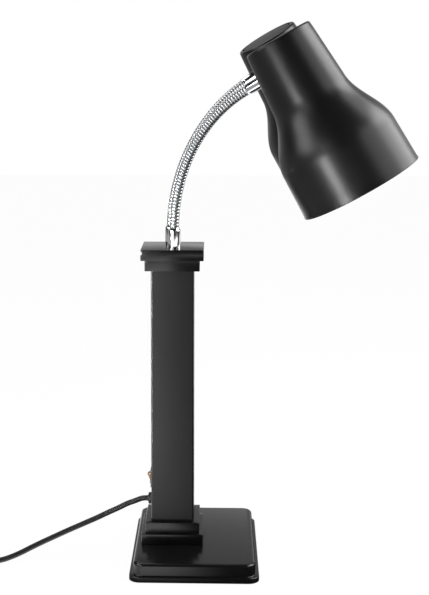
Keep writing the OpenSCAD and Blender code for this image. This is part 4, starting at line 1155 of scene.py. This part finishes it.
class HEATLAMP_OT_shades(bpy.types.Operator):
    """Spin the bell shades and let the crown discs into their tops"""

    bl_idname = "heat_lamp.shades"
    bl_label = "Shades and crowns"

    def outline(self):
        """The sheet's section: over the rounded top, down the bell, round its turned lip, and back inside."""
        shade = settings("shade")
        crown_z = shade.entry_s
        mouth_z = crown_z - shade.whole
        rim_r = shade.crown_r + shade.groove
        lip_h, turn_r = 3.0, 0.3
        corner = (shade.top_r - shade.edge_r, crown_z - shade.edge_r)
        steps, flare = 26, shade.bell_s - shade.waist_s
        stations = [8, 20, 34, 48, 60] + [shade.waist_s + flare * i / steps for i in range(steps + 1)]
        stations += [shade.whole - back for back in (36, 22, 10, lip_h + 1)]
        outer = [(shade_radius(s), crown_z - s) for s in stations]
        bead_r = shade.wall / 2
        bead = (shade.mouth_r + shade.lip - bead_r, mouth_z + bead_r)
        inner = [(r - shade.wall, z) for r, z in reversed(outer)]
        return (
            [(rim_r, crown_z - shade.wall), (rim_r, crown_z - turn_r), (rim_r + turn_r, crown_z)]
            + arc(corner, shade.edge_r, 90, 0, 8)
            + outer
            + arc(bead, bead_r, 15, -180, 8)
            + [(shade.mouth_r - shade.wall, mouth_z + lip_h)]
            + inner
            + arc(corner, shade.edge_r - shade.wall, 0, 90, 6)
            + [(rim_r, crown_z - shade.wall)]
        )

    def execute(self, context):
        shade = settings("shade")
        for label, side in SIDES.items():
            place = head_matrix(side)
            bell = turned(f"{label}_bell", self.outline(), 144)
            put(bell, place)
            finished(bell, f"{label}_head", "satin_black", [f"{label}_shade"], 40.0)
            top, r, sheet = shade.entry_s, shade.crown_r, shade.wall
            step_r, edge_r = r - 2.0, 0.5
            tabs_n, tab_w, tab_l, tab_out, tab_edge_r = 3, 8.0, 6.0, 1.3, 0.3
            disc = turned(
                f"{label}_crown_disc",
                [(0, top - 2 * sheet), (step_r, top - 2 * sheet), (step_r, top - sheet), (r, top - sheet)]
                + arc((r - edge_r, top - edge_r), edge_r, 0, 90, 4)
                + [(0, top)],
            )
            tabs = []
            for i in range(tabs_n):
                place_in_head = (r + tab_out, 0, top - 1.5 * sheet)
                tab = block("crown_tab", (tab_l, tab_w, sheet), place_in_head, tab_edge_r)
                tabs.append(put(tab, Matrix.Rotation(2 * math.pi / tabs_n * (i + 0.5), 4, "Z")))
            crown = joined(f"{label}_crown_disc", [disc, *tabs])
            put(crown, place)
            finished(crown, f"{label}_head", "crown_black", [f"{label}_crown"])
        return {"FINISHED"}


class HEATLAMP_OT_lamps(bpy.types.Operator):
    """Blow the infrared lamps: a mirrored bowl and a frosted face"""

    bl_idname = "heat_lamp.lamps"
    bl_label = "Infrared lamps"

    def execute(self, context):
        shade = settings("shade")
        cap_l, holder_top_z, holder_l = 27.0, 8.5, 52.0
        top_z = holder_top_z - holder_l
        face_z = top_z + cap_l - shade.lamp_l
        glass_l = shade.lamp_l - cap_l
        neck_r, face_r = shade.lamp_cap_r + 2.5, shade.lamp_face_r
        bowl_from, bowl_to, bowl_curve, rim_in = 0.12, 0.82, 0.75, 1.6
        bowl_start, bowl_end = top_z - bowl_from * glass_l, top_z - bowl_to * glass_l
        rim_r, dome_h, frost_h, steps = 3.0, 6.0, 12.0, 24
        profile = [(0, top_z - 2), (neck_r - 4, top_z - 0.4)]
        profile += [(neck_r - 1.2, top_z - 1.5), (neck_r, top_z - 4)]
        for i in range(steps + 1):
            u = i / steps
            r = neck_r + (face_r - neck_r) * u ** bowl_curve
            profile.append((r, bowl_start + (bowl_end - bowl_start) * u))
        profile += arc((face_r - rim_r, face_z + dome_h + rim_r), rim_r, 0, -60, 5)
        for degrees in range(20, 91, 7):
            a = math.radians(degrees)
            profile.append(((face_r - rim_in) * math.cos(a), face_z + dome_h - dome_h * math.sin(a)))
        profile.append((0, face_z))
        for label, side in SIDES.items():
            lamp = turned(f"{label}_lamp", profile)
            for coat in ("silvered_bowl", "lamp_glass"):
                lamp.data.materials.append(finish(coat))
            for face in lamp.data.polygons:
                face.material_index = 1 if face.center.z < (face_z + frost_h) * MM else 0
            put(lamp, head_matrix(side))
            finished(lamp, f"{label}_head", "lamp_glass", [f"{label}_lamp_glass"])
        return {"FINISHED"}


class HEATLAMP_OT_switch(bpy.types.Operator):
    """Mould the switch's bezel and its amber rocker"""

    bl_idname = "heat_lamp.switch"
    bl_label = "Rocker switch"

    def execute(self, context):
        self.bezel()
        self.rocker()
        return {"FINISHED"}

    def bezel(self):
        """The bezel with its well, and the body behind it in the column."""
        switch = settings("switch")
        gap, well_d, edge_r = 0.3, 8.5, 0.35
        well_w, well_h = switch.rocker_w + 2 * gap, 2 * (switch.rocker_r + gap)
        body_w, body_h, body_d = switch.rocker_w + 3.6, 2 * switch.rocker_r + 1.6, 16.0
        piece = rounded_plane("switch_bezel", switch.bezel_h, switch.bezel_w, 1.0, 4)

        def step(width, height, depth):
            """Narrows the selected face to a width and height, and extrudes it down."""
            margin = switch.bezel_w - width
            inset(margin / 2)
            resize(height / (switch.bezel_h - margin), 1)
            extrude(-depth)

        extrude(switch.bezel_t)
        step(well_w, well_h, switch.bezel_t + well_d)
        soften(piece, level(switch.bezel_t), edge_r, 3)
        pick(piece, "faces", level(0))
        step(body_w, body_h, body_d)
        outwards()
        put(piece, at(low("column", "X"), 0, switch.centre_z) @ LEFTWARDS)
        tab_size, tab_edge_r, tab_z = (7, 6, 0.8), 0.15, 6.0
        tab_x = low("column", "X") + body_d + 3
        tabs = [
            block("switch_tab", tab_size, (tab_x, 0, switch.centre_z + z), tab_edge_r)
            for z in (-tab_z, tab_z)
        ]
        body = joined("switch_bezel", [piece, *tabs])
        finished(body, "root", "black_plastic", ["switch_body"])

    def rocker(self):
        """The rocker: two rounded ends and a hollow middle, tilted to the end of its travel."""
        switch = settings("switch")
        r, rise = switch.rocker_r, switch.rocker_rise
        reach = math.sqrt(r * r - rise * rise)
        depth, hollow, curve, steps = 0.6 * r, 1.2, 1.6, 12
        front = []
        for i in range(steps + 1):
            share = -1 + 2 * i / steps
            front.append((rise - hollow + hollow * abs(share) ** curve, reach * share))
        lower = math.degrees(math.atan2(-reach, rise))
        back = math.degrees(math.acos(-depth / r))
        outline = front + arc((0, 0), r, -lower, back, 8)[1:] + arc((0, 0), r, -back, lower, 8)
        turn = switch.rocker_tilt
        flank, flank_edge_r = switch.rocker_w / 2, 0.45
        points = []
        for out, up in outline:
            x = -out * math.cos(turn) - up * math.sin(turn)
            z = -out * math.sin(turn) + up * math.cos(turn)
            points.append((x, -flank, z))
        piece = drawn_line("rocker_key", points)
        weld(0.01)
        everything()
        bpy.ops.mesh.edge_face_add()
        everything("FACE")
        extrude(0, switch.rocker_w)
        for y in (-flank, flank):
            soften(piece, level(y, "Y"), flank_edge_r, 3)
        outwards()
        pin_r, pin_l = 0.8 * MM, (switch.rocker_w + 2.6) * MM
        bpy.ops.mesh.primitive_cylinder_add(
            vertices=24, radius=pin_r, depth=pin_l, rotation=(math.pi / 2, 0, 0)
        )
        pin = named("rocker_pin")
        bpy.ops.object.transform_apply(location=True, rotation=True, scale=True)
        rocker = joined("rocker_key", [piece, pin])
        pivot_in = 0.6
        put(rocker, at(low("column", "X") - pivot_in, 0, switch.centre_z))
        finished(rocker, "rocker", "amber_plastic", ["rocker"])


OPERATORS = [
    HEATLAMP_OT_stage,
    HEATLAMP_OT_cord,
    HEATLAMP_OT_base,
    HEATLAMP_OT_mouldings,
    HEATLAMP_OT_hardware,
    HEATLAMP_OT_necks,
    HEATLAMP_OT_shades,
    HEATLAMP_OT_lamps,
    HEATLAMP_OT_switch,
]


class HEATLAMP_PT_panel(bpy.types.Panel):
    """Sizes, colours and steps of the heat lamp"""

    bl_label = "Food Heat Lamp"
    bl_idname = "HEATLAMP_PT_panel"
    bl_space_type = "VIEW_3D"
    bl_region_type = "UI"
    bl_category = "Heat Lamp"

    def draw(self, context):
        for group, kind in GROUPS.items():
            box = self.layout.box()
            box.label(text=group.title())
            for key in kind.__annotations__:
                box.prop(settings(group), key)
        for operator in OPERATORS:
            self.layout.operator(operator.bl_idname)


CLASSES = [*GROUPS.values(), *OPERATORS, HEATLAMP_PT_panel]


def register():
    for kind in CLASSES:
        bpy.utils.register_class(kind)
    for group, kind in GROUPS.items():
        setattr(bpy.types.Scene, "heat_lamp_" + group, bpy.props.PointerProperty(type=kind))


def unregister():
    for group in GROUPS:
        delattr(bpy.types.Scene, "heat_lamp_" + group)
    for kind in reversed(CLASSES):
        bpy.utils.unregister_class(kind)


def main():
    register()
    for operator in OPERATORS:
        family, name = operator.bl_idname.split(".")
        getattr(getattr(bpy.ops, family), name)()


if __name__ == "__main__":
    main()
